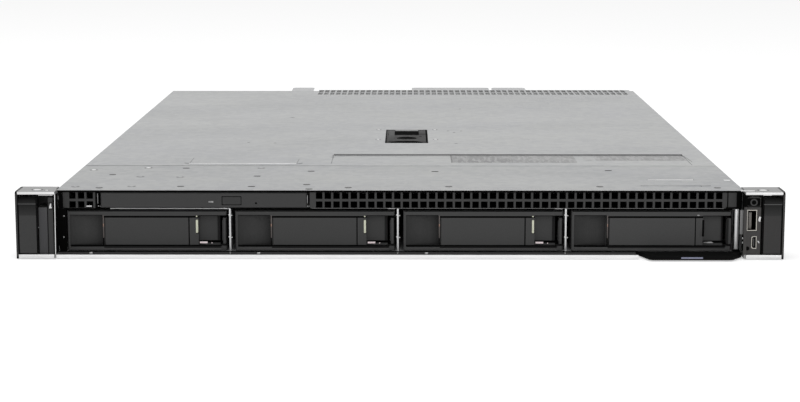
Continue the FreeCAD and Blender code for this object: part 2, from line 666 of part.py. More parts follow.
def top_cover():
    """The sliding cover: sheet, inner side flanges, label recess, latch window and perforated rear part."""
    half = BODY_WIDTH / 2
    sheet = fused([block(-half, half, SEAM, BODY_REAR, 41.0, BODY_HEIGHT),
                   block(ROOF_STEP, half - 3.0, BODY_REAR - 1, ROOF_REAR, 41.0, BODY_HEIGHT)])
    flanges = []
    for side in (-1, 1):
        a = side * (half - 1.2)
        b = side * (half - 2.0)
        flange = block(min(a, b), max(a, b), SEAM + 12, BODY_REAR - 30, 35.0, 41.0)
        flanges.append(flange)
    window_left = LATCH_CENTRE - LATCH_WIDTH / 2
    window = block(window_left, window_left + LATCH_WIDTH, LATCH_FRONT, LATCH_REAR, 40, 43)
    recess = plan_prism([(-33, SEAM + 1.6), (201, SEAM + 1.6), (201, 153.5), (-49, 153.5), (-49, 136)],
                        BODY_HEIGHT - 0.35, BODY_HEIGHT + 1)
    rib = plan_prism([(-150, 110), (-68, 110), (-72, 106.4), (-146, 106.4)], BODY_HEIGHT, BODY_HEIGHT + 0.3)
    slots = []
    half_slot = HOLE_SIZE / 2
    for column in range(ROOF_HOLES):
        x = ROOF_HOLES_FIRST + column * ROOF_PITCH
        slots.append(block(x - half_slot, x + half_slot, ROOF_SLOT_FRONT, ROOF_SLOT_REAR, 40, 43))
    last = ROOF_HOLES_FIRST + (ROOF_HOLES - 1) * ROOF_PITCH
    crossbar = block(ROOF_HOLES_FIRST - 4, last + 4, ROOF_BAR_Y - 1, ROOF_BAR_Y + 1, 40.2, 41.0)
    cover = fused([carved(sheet, [window, recess] + slots), rib])
    return group([cover, crossbar] + flanges)


def latch_frame():
    """The moulded tray under the latch, with its rim flush with the cover and the hinge pin across it."""
    left = LATCH_CENTRE - LATCH_WIDTH / 2 + 0.05
    right = LATCH_CENTRE + LATCH_WIDTH / 2 - 0.05
    front = LATCH_FRONT + 0.05
    rear = LATCH_REAR - 0.05
    outer = block(left, right, front, rear, 33.6, BODY_HEIGHT)
    flange = block(left - 4, right + 4, front - 3, rear + 3, 39.9, 40.9)
    room = block(left + 0.9, right - 0.9, front + 0.9, rear - 0.2, 34.8, BODY_HEIGHT + 1)
    cam_way = block(LATCH_CENTRE - 4, LATCH_CENTRE + 4, 274.0, LATCH_REAR + 5, 30, 38.4)
    pin = rod(vec(left + 0.5, LATCH_HINGE_Y, LATCH_HINGE_Z), X_AXIS, LATCH_PIN_R, right - left - 1)
    return fused([carved(fused([outer, flange]), [room, cam_way]), pin])


def cover_latch():
    """The lever, hinged at its rear, with a finger scoop at its front and the cam under its hinge."""
    left = LATCH_CENTRE - LATCH_WIDTH / 2 + 1.5
    right = LATCH_CENTRE + LATCH_WIDTH / 2 - 1.5
    low = LATCH_HINGE_Z - LEVER_HALF
    high = LATCH_HINGE_Z + LEVER_HALF
    bar = block(left, right, LATCH_FRONT + 1.6, LATCH_HINGE_Y, low, high)
    nose = rod(vec(left, LATCH_HINGE_Y, LATCH_HINGE_Z), X_AXIS, LEVER_HALF, right - left)
    cam = cam_lobe()
    lever = fused([bar, nose, cam])
    scoop = rod(vec(LATCH_CENTRE, LATCH_FRONT - 5.4, low - 1), Z_AXIS, 15.2, 9.0)
    window = block(LATCH_CENTRE - 9.3, LATCH_CENTRE + 9.3, 265.0, 288.0, low + 1.2, high + 1)
    well = rod(vec(LATCH_CENTRE, LOCK_Y, low + 1.0), Z_AXIS, LOCK_R + 2 * RUNNING_GAP, 9.0)
    slope = side_prism([(LATCH_FRONT, high + 0.1), (LATCH_FRONT, high - 1.6), (LATCH_FRONT + 14, high + 0.1)],
                       left - 1, right + 1)
    bore_start = vec(left - 1, LATCH_HINGE_Y, LATCH_HINGE_Z)
    bore = rod(bore_start, X_AXIS, LATCH_PIN_R + RUNNING_GAP, right - left + 2)
    return carved(lever, [scoop, window, well, slope, bore])


def cam_lobe():
    """A rounded lobe that points down and to the rear at rest and sweeps forwards as the lever lifts."""
    tip_y = LATCH_HINGE_Y + CAM_REACH * HALF_SQUARE
    tip_z = LATCH_HINGE_Z - CAM_REACH * HALF_SQUARE
    x0 = LATCH_CENTRE - 2.5
    tip = rod(vec(x0, tip_y, tip_z), X_AXIS, CAM_TIP_R, 5.0)
    offset = CAM_TIP_R * HALF_SQUARE
    arm = side_prism(
        [(LATCH_HINGE_Y - offset, LATCH_HINGE_Z - offset), (LATCH_HINGE_Y + offset, LATCH_HINGE_Z + offset),
         (tip_y + offset, tip_z + offset), (tip_y - offset, tip_z - offset)], x0, x0 + 5.0)
    return fused([tip, arm])


def latch_lock():
    """The round quarter-turn lock with a driver slot."""
    low = LATCH_HINGE_Z - LEVER_HALF + 1.1
    disc = faceted_rod(vec(LATCH_CENTRE, LOCK_Y, low), Z_AXIS, LOCK_R, 3.6, 32)
    slot = block(LATCH_CENTRE - 5.6, LATCH_CENTRE + 5.6, LOCK_Y - 0.9, LOCK_Y + 0.9, low + 1.8, low + 5)
    return disc.cut(slot)


# Inside: drive backplane, fans, board

def backplane():
    y0 = BACKPLANE_FRONT
    y1 = BACKPLANE_FRONT + 2.0
    board = block(-212.0, 212.0, y0, y1, 3.2, 29.0)
    windows = []
    connectors = []
    for number in range(BAY_COUNT):
        left = BLANK_FIRST + number * BLANK_PITCH
        for offset in (4.0, 66.0):
            windows.append(block(left + offset, left + offset + 16.0, y0 - 1, y1 + 1, 14.0, 25.0))
        connectors.append(block(left + 24.0, left + 58.0, y0 - 7.0, y0, 5.0, 11.0))
    return fused([carved(board, windows)] + connectors)


def fan_x(number):
    return (number - (FAN_COUNT - 1) / 2) * FAN_PITCH


def fan_housings():
    """Square ducts with a round bore, each on a foot and with a motor plate on struts at the rear."""
    housings = []
    half = FAN_SIZE / 2
    low = FAN_AXIS_Z - half
    back = FAN_FRONT + FAN_DEPTH - 3.0
    reach = FAN_BORE_R + 0.2
    for number in range(FAN_COUNT):
        x = fan_x(number)
        body = block(x - half - 1, x + half + 1, FAN_FRONT, FAN_FRONT + FAN_DEPTH, low, low + FAN_SIZE)
        bore = faceted_rod(vec(x, FAN_FRONT - 1, FAN_AXIS_Z), Y_AXIS, FAN_BORE_R, FAN_DEPTH + 2, 12)
        struts = [
            block(x - reach, x + reach, back, back + 3.0, FAN_AXIS_Z - 1, FAN_AXIS_Z + 1),
            faceted_rod(vec(x, back, FAN_AXIS_Z), Y_AXIS, FAN_HUB_R, 3.0, 10),
        ]
        housings.append(fused([carved(body, [bore])] + struts))
    return group(housings)


def fan_rotor(number):
    """A hub with leaning blades."""
    hub = faceted_rod(vec(0, FAN_FRONT + 3, 0), Y_AXIS, FAN_HUB_R, FAN_DEPTH - 7, 2 * FAN_BLADES)
    blades = []
    for index in range(FAN_BLADES):
        blade = fan_blade()
        blade.rotate(vec(0, 0, 0), Y_AXIS, (index + 0.5) * 360.0 / FAN_BLADES)
        blades.append(blade)
    rotor = fused([hub] + blades)
    rotor.translate(vec(fan_x(number), 0, FAN_AXIS_Z))
    return rotor


def fan_blade():
    """One leaning flat blade from hub to tip, its corners inside the tip circle."""
    half_chord = 8.0
    lean = 42.0
    spread = half_chord * math.sin(math.radians(lean)) + 0.6
    tip = math.sqrt(FAN_TIP_R ** 2 - spread ** 2)
    blade = block(-0.6, 0.6, -half_chord, half_chord, FAN_HUB_R - 1.5, tip)
    blade.rotate(vec(0, 0, 0), Z_AXIS, -lean)
    blade.translate(vec(0, FAN_FRONT + FAN_DEPTH / 2 - 1, 0))
    return blade


def air_shroud():
    """The moulded duct over processors and memory."""
    left = BOARD_LEFT + 1
    right = BOARD_RIGHT - 1
    front = BOARD_FRONT
    roof = block(left, right, front, SHROUD_REAR, SHROUD_TOP, SHROUD_TOP + 1.0)
    sides = [block(x, x + 1.2, front, SHROUD_REAR, 9.0, SHROUD_TOP) for x in (left, right - 1.2)]
    guides = []
    for x in (-50.0, 34.0, 78.0, 162.0):
        guides.append(block(x - 0.6, x + 0.6, front, front + 8.0, 20.0, SHROUD_TOP))
    return fused([roof] + sides + guides)


def main_board():
    board = block(BOARD_LEFT, BOARD_RIGHT, BOARD_FRONT, BOARD_REAR, BOARD_LOW, BOARD_TOP)
    notch = block(BOARD_LEFT - 1, BOARD_LEFT + 30, BOARD_FRONT - 1, BOARD_FRONT + 10, 0, 10)
    return carved(board, [notch])


def board_parts():
    """Processor frames, chips, capacitors and the coin cell that stand on the board."""
    parts = []
    for x in PROCESSOR_X:
        outer = block(x - 38, x + 38, PROCESSOR_Y - 45, PROCESSOR_Y + 45, BOARD_TOP, BOARD_TOP + 3.0)
        inner = block(x - 26, x + 26, PROCESSOR_Y - 32, PROCESSOR_Y + 32, BOARD_TOP - 1, BOARD_TOP + 4)
        parts.append(outer.cut(inner))
    for x, y, size, height in CHIP_SPOTS:
        half = size / 2
        parts.append(block(x - half, x + half, y - half, y + half, BOARD_TOP, BOARD_TOP + height))
    for index in range(CAPACITOR_COUNT):
        spot = vec(-80.0 + index * CAPACITOR_PITCH, 486, BOARD_TOP)
        parts.append(faceted_rod(spot, Z_AXIS, 3.6, 9.0, 6))
    cell = [faceted_rod(vec(COIN_CELL_X, COIN_CELL_Y, BOARD_TOP), Z_AXIS, 11.4, 2.4, 10),
            faceted_rod(vec(COIN_CELL_X, COIN_CELL_Y, BOARD_TOP + 2.3), Z_AXIS, 10.0, 2.1, 10)]
    parts.append(fused(cell))
    return group(parts)


def processors():
    chips = []
    for x in PROCESSOR_X:
        carrier = block(x - 25, x + 25, PROCESSOR_Y - 31, PROCESSOR_Y + 31, BOARD_TOP, BOARD_TOP + 2.6)
        lid = block(x - 19, x + 19, PROCESSOR_Y - 24, PROCESSOR_Y + 24, BOARD_TOP + 2.6, BOARD_TOP + 4.6)
        chips.append(fused([carrier, lid]))
    return group(chips)


def heat_sinks():
    """A base plate and a comb of upright fins over each processor."""
    sinks = []
    low = BOARD_TOP + 4.6
    fin_count = 12
    pitch = (SINK_WIDTH - 0.8) / (fin_count - 1)
    for x in PROCESSOR_X:
        left = x - SINK_WIDTH / 2
        outline = [(left, low)]
        for fin in range(fin_count):
            start = left + fin * pitch
            outline += [(start, SINK_TOP), (start + 0.8, SINK_TOP)]
            if fin < fin_count - 1:
                outline += [(start + 0.8, low + 4.0), (start + pitch, low + 4.0)]
        outline.append((left + SINK_WIDTH, low))
        points = [vec(px, PROCESSOR_Y - SINK_DEPTH / 2, pz) for px, pz in outline]
        sinks.append(prism(points, vec(0, SINK_DEPTH, 0)))
    return group(sinks)


def memory_spots():
    return [bank + slot * MEMORY_PITCH for bank in MEMORY_BANKS for slot in range(MEMORY_PER_BANK)]


def memory_sockets():
    """Long sockets, one for each module."""
    front = PROCESSOR_Y - MEMORY_LENGTH / 2 - 4
    rear = PROCESSOR_Y + MEMORY_LENGTH / 2 + 4
    return group([block(x - 3, x + 3, front, rear, BOARD_TOP, BOARD_TOP + 8) for x in memory_spots()])


def memory_modules():
    modules = []
    front = PROCESSOR_Y - MEMORY_LENGTH / 2
    rear = PROCESSOR_Y + MEMORY_LENGTH / 2
    for x in memory_spots():
        modules.append(block(x - 1.4, x + 1.4, front, rear, BOARD_TOP + 8, BOARD_TOP + 31.0))
    return group(modules)


def riser_card():
    """An upright card that turns the expansion slot flat."""
    card = block(46.0, 47.6, 478.0, 560.0, BOARD_TOP, 37.0)
    slot = block(47.6, 54.6, 490.0, 552.0, 26.0, 33.0)
    return fused([card, slot])


def expansion_brackets():
    """Blank brackets that close the expansion slots, each with a vent row and a turned end."""
    brackets = []
    for left, right in SLOT_SPANS:
        wall = BODY_REAR - SHEET
        plate = block(left + 0.3, right - 0.3, wall - 1.0, wall, SLOT_LOW - 1.5, SLOT_TOP + 0.8)
        columns = int((right - left - 6) / WALL_VENT_PITCH)
        first = (left + right) / 2 - (columns - 1) * WALL_VENT_PITCH / 2
        holes = hole_grid(first, columns, WALL_VENT_PITCH, (29.5,), BODY_REAR - 3, BODY_REAR, 12.0)
        tab = block(left + 0.3, left + 10.0, BODY_REAR - 12.0, BODY_REAR - 2.0, SLOT_TOP, SLOT_TOP + 0.8)
        brackets.append(fused([carved(plate, holes), tab]))
    return group(brackets)


def network_sockets():
    """Shielded jacks with a stepped mouth for the plug's catch."""
    width, depth, height = NETWORK_SIZE
    jacks = []
    for left in NETWORK_SPOTS:
        front = BODY_REAR + 0.6 - depth
        body = block(left, left + width, front, BODY_REAR + 0.6, BOARD_TOP, BOARD_TOP + height)
        right = left + width
        low = BOARD_TOP
        mouth = block(left + 2.0, right - 2.0, front + 2, BODY_REAR + 2, low + 3.6, low + height - 1.6)
        catch = block(left + 5.2, right - 5.2, front + 4, BODY_REAR + 2, low + 1.2, low + 4)
        contacts = block(left + 4.0, right - 4.0, front + 1.9, front + 6, low + 9.2, low + 10.2)
        jacks.append(fused([carved(body, [mouth, catch]), contacts]))
    return group(jacks)


def rear_usb_sockets():
    """A stack of two sleeves with their tongues."""
    front = BODY_REAR + 0.6 - 15
    right = USB_LEFT + USB_WIDTH
    body = block(USB_LEFT, right, front, BODY_REAR + 0.6, BOARD_TOP, BOARD_TOP + 15.6)
    mouths = []
    tongues = []
    for low in (BOARD_TOP + 1.2, BOARD_TOP + 8.8):
        mouths.append(block(USB_LEFT + 0.9, right - 0.9, front + 1.5, BODY_REAR + 2, low, low + 5.6))
        tongues.append(block(USB_LEFT + 1.9, right - 1.9, front + 1.4, BODY_REAR - 2, low + 3.0, low + 4.8))
    return fused([carved(body, mouths)] + tongues)


def shell_sockets():
    """Video and serial sockets: a D-shaped sleeve on a flange, with a jack screw at each side."""
    sockets = []
    for left in (VIDEO_LEFT, SERIAL_LEFT):
        middle = left + SHELL_WIDTH / 2
        low = BOARD_TOP
        flange = block(left, left + SHELL_WIDTH, BODY_REAR - 14, BODY_REAR - 0.2, low, low + 12.5)
        outline = [(middle - 8.6, low + 10.6), (middle + 8.6, low + 10.6), (middle + 7.2, low + 2.2),
                   (middle - 7.2, low + 2.2)]
        sleeve = prism([vec(x, BODY_REAR - 1, z) for x, z in outline], vec(0, 6.0, 0))
        nuts = []
        for side in (-1, 1):
            nut = vec(middle + side * 12.5, BODY_REAR - 1, low + 6.3)
            nuts.append(faceted_rod(nut, Y_AXIS, 2.5, 5.0, 6))
        sockets.append(fused([flange, sleeve] + nuts))
    return group(sockets)


# Power

def power_interposer():
    """The upright board that the supplies plug into, with one connector for each."""
    left = -214.0
    right = -103.0
    back = INTERPOSER_FRONT + 2.0
    board = block(left, right, INTERPOSER_FRONT, back, 3.0, 38.0)
    feet = block(left, right, INTERPOSER_FRONT - 4.0, back, SHEET, 3.0)
    connectors = [block(x - 20, x + 20, back, back + 14.0, 10.0, 22.0) for x in SUPPLY_CENTRES]
    return fused([board, feet] + connectors)


def power_supply(centre):
    """A closed sheet-metal case and its end, with the moulded inlet, the fan vents and a pull handle."""
    left = centre - SUPPLY_WIDTH / 2
    right = centre + SUPPLY_WIDTH / 2
    rear = BODY_REAR + 0.6
    case = block(left, right, rear - SUPPLY_LENGTH, rear - SUPPLY_END, SUPPLY_LOW, SUPPLY_TOP)
    end = block(left, right, rear - SUPPLY_END, rear, SUPPLY_LOW, SUPPLY_TOP)
    inlet_x = left + 17.0
    inlet_z = 14.5
    half_w = INLET_WIDTH / 2
    half_h = INLET_HEIGHT / 2
    back = rear - INLET_DEPTH
    mouth = block(inlet_x - half_w, inlet_x + half_w, back, rear + 2, inlet_z - half_h, inlet_z + half_h)
    blades = []
    for across, up in ((-7, -1.5), (0, 3.5), (7, -1.5)):
        x = inlet_x + across
        z = inlet_z + up
        blades.append(block(x - 1, x + 1, back - 0.5, rear - 3, z - 2, z + 2))
    vents = hole_grid(right - 17.0, 3, HOLE_PITCH, (9.5, 20.5), rear - 5, rear + 1, 9.0)
    vents += hole_grid(left + 6.0, 4, 2 * HOLE_PITCH, (30.0,), rear - 5, rear + 1)
    end = fused([carved(end, [mouth] + vents), supply_handle(left, rear)] + blades)
    return group([case, end])


def supply_handle(left, rear):
    """A flat loop that stands out of the supply's rear face."""
    reach = rear + 26.0
    loop = block(left + 3.5, left + 34.0, rear - 0.6, reach, 34.6, 37.6)
    loop = rounded(loop, 7.0, lambda edge: runs_along(edge, Z_AXIS) and edge.Vertexes[0].Y > rear + 5)
    hole = block(left + 8.0, left + 29.5, rear + 0.4, reach - 4.5, 34.0, 38.0)
    hole = bevelled(hole, 3.0, lambda edge: runs_along(edge, Z_AXIS) and edge.Vertexes[0].Y > rear + 5)
    return carved(loop, [hole])


def supply_release(centre):
    """The sprung tab that frees a supply when it is squeezed towards the handle."""
    right = centre + SUPPLY_WIDTH / 2
    rear = BODY_REAR + 0.6
    outline = [(right - 4.0, rear + 0.3), (right - 1.6, rear + 0.3), (right - 1.6, rear + 12.0),
               (right - 3.0, rear + 14.0), (right - 7.0, rear + 14.0), (right - 4.0, rear + 11.0)]
    return plan_prism(outline, 27.4, 36.6)


def server_nodes():
    """Every node's name and shape."""
    nodes = {
        "chassis_tub": chassis_tub(),
        "front_top_plate": front_top_plate(),
        "rail_studs": rail_studs(),
        "rear_wall": rear_wall(),
        "bay_cage": bay_cage(),
        "front_grilles": front_grilles(),
        "optical_drive_body": optical_drive_body(),
        "optical_tray": optical_tray(),
        "optical_eject_button": optical_eject_button(),
        "right_ear_bracket": ear_bracket(),
        "left_ear_bracket": mirrored(ear_bracket()),
        "right_ear_panel": right_ear_panel(),
        "left_ear_panel": left_ear_panel(),
        "right_slam_latch": slam_latch(),
        "left_slam_latch": mirrored(slam_latch()),
        "power_button": power_button(),
        "status_button": status_button(),
        "front_usb_socket": front_usb_socket(),
        "front_micro_socket": front_micro_socket(),
        "captive_screws": captive_screws(),
        "information_tag": information_tag(),
        "top_cover": top_cover(),
        "latch_frame": latch_frame(),
        "cover_latch": cover_latch(),
        "latch_lock": latch_lock(),
        "backplane": backplane(),
        "fan_housings": fan_housings(),
        "air_shroud": air_shroud(),
        "main_board": main_board(),
        "board_parts": board_parts(),
        "processors": processors(),
        "heat_sinks": heat_sinks(),
        "memory_sockets": memory_sockets(),
        "memory_modules": memory_modules(),
        "riser_card": riser_card(),
        "expansion_brackets": expansion_brackets(),
        "network_sockets": network_sockets(),
        "rear_usb_sockets": rear_usb_sockets(),
        "shell_sockets": shell_sockets(),
        "power_interposer": power_interposer(),
    }
    for number in range(BAY_COUNT):
        left = BLANK_FIRST + number * BLANK_PITCH
        nodes[f"drive_blank_{number + 1}"] = drive_blank(left)
        nodes[f"blank_release_{number + 1}"] = blank_release(left)
    for number in range(FAN_COUNT):
        nodes[f"fan_rotor_{number + 1}"] = fan_rotor(number)
    for number, centre in enumerate(SUPPLY_CENTRES):
        nodes[f"power_supply_{number + 1}"] = power_supply(centre)
        nodes[f"supply_release_{number + 1}"] = supply_release(centre)
    return nodes


def main():
    os.makedirs("parts", exist_ok=True)
    for name, shape in server_nodes().items():
        shape.translate(vec(0, -MIDDLE_Y, 0))
        shape.exportStep(os.path.join("parts", name + ".step"))


if __name__ == "__main__":
    main()
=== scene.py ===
import json
import math

import bmesh
import bpy
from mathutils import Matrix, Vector


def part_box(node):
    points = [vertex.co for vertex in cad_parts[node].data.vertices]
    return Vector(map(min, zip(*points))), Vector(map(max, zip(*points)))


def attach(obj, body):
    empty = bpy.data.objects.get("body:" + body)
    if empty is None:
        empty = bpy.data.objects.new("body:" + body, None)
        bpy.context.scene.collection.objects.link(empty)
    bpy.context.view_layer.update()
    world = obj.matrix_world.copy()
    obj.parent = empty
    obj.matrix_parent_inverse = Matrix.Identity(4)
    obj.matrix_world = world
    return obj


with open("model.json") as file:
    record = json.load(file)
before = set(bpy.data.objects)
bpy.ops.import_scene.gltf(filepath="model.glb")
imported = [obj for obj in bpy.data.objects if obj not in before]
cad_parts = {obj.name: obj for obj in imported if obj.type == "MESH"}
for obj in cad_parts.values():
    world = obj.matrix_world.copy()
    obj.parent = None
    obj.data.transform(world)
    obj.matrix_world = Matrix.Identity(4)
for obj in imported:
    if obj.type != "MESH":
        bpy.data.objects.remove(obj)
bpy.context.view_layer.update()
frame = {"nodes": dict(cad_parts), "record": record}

# Places are given in millimetres: x from the middle of the server, depth behind the faces of the drive
# bays, z above the underside. The frame's own boxes say where those planes are.
MM = 0.001
FACE_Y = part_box("drive_blank_1")[0].y
SHEET_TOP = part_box("latch_frame")[1].z / MM

# The sizes of what repeats along the front and the vents of the cover
HOLE_HALF = 1.95
GRILLE_PITCH = 5.49
GRILLE_ROWS = (32.75, 38.5)
GRILLES = ((-51.0, 47), (-207.0, 3))  # first column and number of columns
VENT_LEFT = -76.9
VENT_PITCH = 5.56
VENT_COLUMNS = 52

NO_TINT = (0.0, 0.0, 0.0)
WHITE = (1.0, 1.0, 1.0, 1.0)
TOOTH_DEPTH = 0.00008  # metres of relief in a spark-eroded mould

scene = bpy.context.scene


def spot(x, depth, z):
    """A point in the frame from millimetres across, behind the bay faces and up."""
    return Vector((x * MM, FACE_Y + depth * MM, z * MM))


def sides(node):
    """A node's box at rest in millimetres: left, right, front, back, bottom and top."""
    low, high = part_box(node)
    front = (low.y - FACE_Y) / MM
    back = (high.y - FACE_Y) / MM
    return low.x / MM, high.x / MM, front, back, low.z / MM, high.z / MM


# Mesh helpers

class Form:
    """A mesh in the making, drawn in millimetres."""

    def __init__(self):
        self.bm = bmesh.new()

    def swept(self, outline, low, high, view, bevel=0.0):
        """A closed outline swept between two levels of the axis that the view looks along."""
        places = {
            "front": lambda a, b, level: spot(a, level, b),
            "plan": lambda a, b, level: spot(a, b, level),
            "side": lambda a, b, level: spot(level, a, b),
        }
        put = places[view]
        near = [self.bm.verts.new(put(a, b, low)) for a, b in outline]
        far = [self.bm.verts.new(put(a, b, high)) for a, b in outline]
        faces = [self.bm.faces.new(near), self.bm.faces.new(far[::-1])]
        for index in range(len(outline)):
            after = (index + 1) % len(outline)
            faces.append(self.bm.faces.new((near[index], far[index], far[after], near[after])))
        if bevel:
            edges = list(dict.fromkeys(edge for face in faces for edge in face.edges))
            bmesh.ops.bevel(self.bm, geom=edges, offset=bevel * MM, segments=2, profile=0.5,
                            affect="EDGES", clamp_overlap=True)

    def box(self, x0, x1, d0, d1, z0, z1, bevel=0.0):
        """A box between two places across, two depths and two heights."""
        self.swept([(x0, d0), (x1, d0), (x1, d1), (x0, d1)], z0, z1, "plan", bevel)

    def turned(self, centre, profile, axis="z", segments=24, stretch=1.0):
        """A profile of radius and level, turned about an axis; it starts and ends on the axis."""
        x, depth, z = centre
        rings = []
        for radius, level in profile:
            count = segments if radius else 1
            ring = []
            for index in range(count):
                turn = 2 * math.pi * index / segments
                across = radius * math.cos(turn) * stretch
                along = radius * math.sin(turn)
                if axis == "z":
                    ring.append(self.bm.verts.new(spot(x + across, depth + along, z + level)))
                else:
                    ring.append(self.bm.verts.new(spot(x + across, depth + level, z + along)))
            rings.append(ring)
        for first, second in zip(rings, rings[1:]):
            for index in range(segments):
                after = (index + 1) % segments
                corners = [first[index % len(first)], second[index % len(second)],
                           second[after % len(second)], first[after % len(first)]]
                self.bm.faces.new(list(dict.fromkeys(corners)))

    def made(self, name, body, slot, finish):
        """The finished piece, riding on its body."""
        bmesh.ops.recalc_face_normals(self.bm, faces=self.bm.faces)
        mesh = bpy.data.meshes.new(name)
        self.bm.to_mesh(mesh)
        self.bm.free()
        for polygon in mesh.polygons:
            polygon.use_smooth = True
        mesh.set_sharp_from_angle(angle=math.radians(35))
        mesh.materials.append(finish)
        piece = bpy.data.objects.new(name, mesh)
        scene.collection.objects.link(piece)
        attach(piece, body)


def boxes(name, body, slot, finish, *rows):
    """A piece made of plain boxes, one row of measures for each."""
    form = Form()
    for row in rows:
        form.box(*row)
    form.made(name, body, slot, finish)


def ring(name, body, slot, finish, *measures):
    """A piece made of one flat ring seen from the front."""
    form = Form()
    frame_of(form, *measures)
    form.made(name, body, slot, finish)


def frame_of(form, x0, x1, z0, z1, width, d0, d1):
    """Adds the four bars of a flat rectangular ring to a form."""
    form.box(x0, x1, d0, d1, z1 - width, z1)
    form.box(x0, x1, d0, d1, z0, z0 + width)
    form.box(x0, x0 + width, d0, d1, z0 + width, z1 - width)
    form.box(x1 - width, x1, d0, d1, z0 + width, z1 - width)


def mirrored(side, near, far):
    """Left and right limits of two distances from the middle, on the side -1 or 1."""
    return sorted((side * near, side * far))


def round_corners(x0, x1, z0, z1, radius, steps=4):
    """The outline of a rectangle with round corners."""
    outline = []
    centres = ((x1 - radius, z1 - radius), (x0 + radius, z1 - radius), (x0 + radius, z0 + radius),
               (x1 - radius, z0 + radius))
    for quarter, (cx, cz) in enumerate(centres):
        for step in range(steps + 1):
            turn = math.pi / 2 * (quarter + step / steps)
            outline.append((cx + radius * math.cos(turn), cz + radius * math.sin(turn)))
    return outline


# Node-tree helpers

def fill(node, **values):
    """Sets a node's sockets; an underscore stands for a space in a socket's name."""
    for socket, value in values.items():
        node.inputs[socket.replace("_", " ")].default_value = value


class Tree:
    """A material's nodes, with one short method for each kind of node the finishes use."""

    def __init__(self, name):
        self.material = bpy.data.materials.new(name)
        self.material.use_nodes = True
        self.nodes = self.material.node_tree.nodes
        self.links = self.material.node_tree.links
        self.shader = self.nodes["Principled BSDF"]
        self.place = self.nodes.new("ShaderNodeTexCoord").outputs["Object"]

    def set(self, **values):
        """Sets sockets of the main shader to one value all over."""
        fill(self.shader, **values)

    def join(self, socket, target):
        """Feeds a node's output into the main shader."""
        self.links.new(socket, self.shader.inputs[target])

    def stretched(self, scale):
        """The place on the part, scaled on each axis."""
        mapping = self.nodes.new("ShaderNodeMapping")
        fill(mapping, Scale=scale)
        self.links.new(self.place, mapping.inputs["Vector"])
        return mapping.outputs["Vector"]

    def noise(self, scale, detail=2.0, rough=0.5, place=None):
        """A noise pattern at the place on the part, or at another place."""
        node = self.nodes.new("ShaderNodeTexNoise")
        fill(node, Scale=scale, Detail=detail, Roughness=rough)
        self.links.new(place or self.place, node.inputs["Vector"])
        return node.outputs["Fac"]

    def cells(self, scale, place=None):
        """One random grey value for each cell of a Voronoi pattern."""
        node = self.nodes.new("ShaderNodeTexVoronoi")
        fill(node, Scale=scale)
        self.links.new(place or self.place, node.inputs["Vector"])
        split = self.nodes.new("ShaderNodeSeparateColor")
        self.links.new(node.outputs["Color"], split.inputs["Color"])
        return split.outputs["Red"]

    def ramp(self, socket, stops):
        """A colour picked by a value, from stops of position and colour."""
        node = self.nodes.new("ShaderNodeValToRGB")
        points = node.color_ramp.elements
        while len(points) < len(stops):
            points.new(0.5)
        for point, (position, colour) in zip(points, stops):
            point.position = position
            point.color = colour
        self.links.new(socket, node.inputs["Fac"])
        return node.outputs["Color"]

    def span(self, socket, low, high, start=0.0, end=1.0):
        """Maps a texture's value onto a range of numbers."""
        node = self.nodes.new("ShaderNodeMapRange")
        fill(node, From_Min=start, From_Max=end, To_Min=low, To_Max=high)
        self.links.new(socket, node.inputs["Value"])
        return node.outputs["Result"]

    def blend(self, first, second, share):
        """The mean of two values, weighted by a share."""
        node = self.nodes.new("ShaderNodeMix")
        fill(node, Factor=share)
        self.links.new(first, node.inputs["A"])
        self.links.new(second, node.inputs["B"])
        return node.outputs["Result"]

    def bump(self, socket, strength, distance):
        """Relief from a value; the distance is in metres."""
        node = self.nodes.new("ShaderNodeBump")
        fill(node, Strength=strength, Distance=distance)
        self.links.new(socket, node.inputs["Height"])
        self.join(node.outputs["Normal"], "Normal")

    def spread(self):
        """Places across the piece's own box, each from 0 to 1."""
        place = self.nodes.new("ShaderNodeTexCoord").outputs["Generated"]
        parts = self.nodes.new("ShaderNodeSeparateXYZ")
        self.links.new(place, parts.inputs["Vector"])
        return parts.outputs

    def matt_tooth(self, scale, sheen):
        """The uneven gloss and fine relief of a matt moulding."""
        tooth = self.noise(scale, 2.0, 0.55)
        self.join(self.span(tooth, 0.5, 0.7, 0.3, 0.7), "Roughness")
        self.bump(tooth, 0.35, TOOTH_DEPTH)
        self.set(Specular_IOR_Level=sheen)


def grey(value, tint=NO_TINT):
    """A linear colour near a grey, with an optional tint on each channel."""
    return (value + tint[0], value + tint[1], value + tint[2], 1.0)


def shades(dark, light, tint=NO_TINT):
    """Two stops of a ramp, a quarter in from either end."""
    return [(0.25, grey(dark, tint)), (0.75, grey(light, tint))]


# Finishes

def galvanised(name, dark, light, metallic=0.55, roughness=0.42, tint=(0.0, 0.0, 0.004)):
    """Zinc-coated sheet: faint spangle, rolling streaks along X and a fine tooth."""
    tree = Tree(name)
    spangle = tree.cells(210.0)
    cloud = tree.noise(16.0, 4.0, 0.6)
    streak = tree.noise(1.0, 3.0, 0.6, tree.stretched((14.0, 260.0, 260.0)))
    broad = tree.noise(5.0, 3.0, 0.55, tree.stretched((1.0, 2.6, 1.0)))
    mottle = tree.blend(tree.blend(cloud, spangle, 0.25), tree.blend(streak, broad, 0.75), 0.5)
    cool = (tint[0] - 0.004, tint[1], tint[2] + 0.006)
    warm = (tint[0], tint[1] + 0.003, tint[2] - 0.005)
    stops = [(0.38, grey(dark, cool)), (0.62, grey(light, warm))]
    tree.join(tree.ramp(mottle, stops), "Base Color")
    tree.join(tree.span(cloud, roughness - 0.06, roughness + 0.08, 0.3, 0.7), "Roughness")
    tree.bump(tree.blend(tree.noise(1400.0, 2.0), streak, 0.3), 0.12, 0.0002)
    tree.set(Metallic=metallic)
    return tree.material


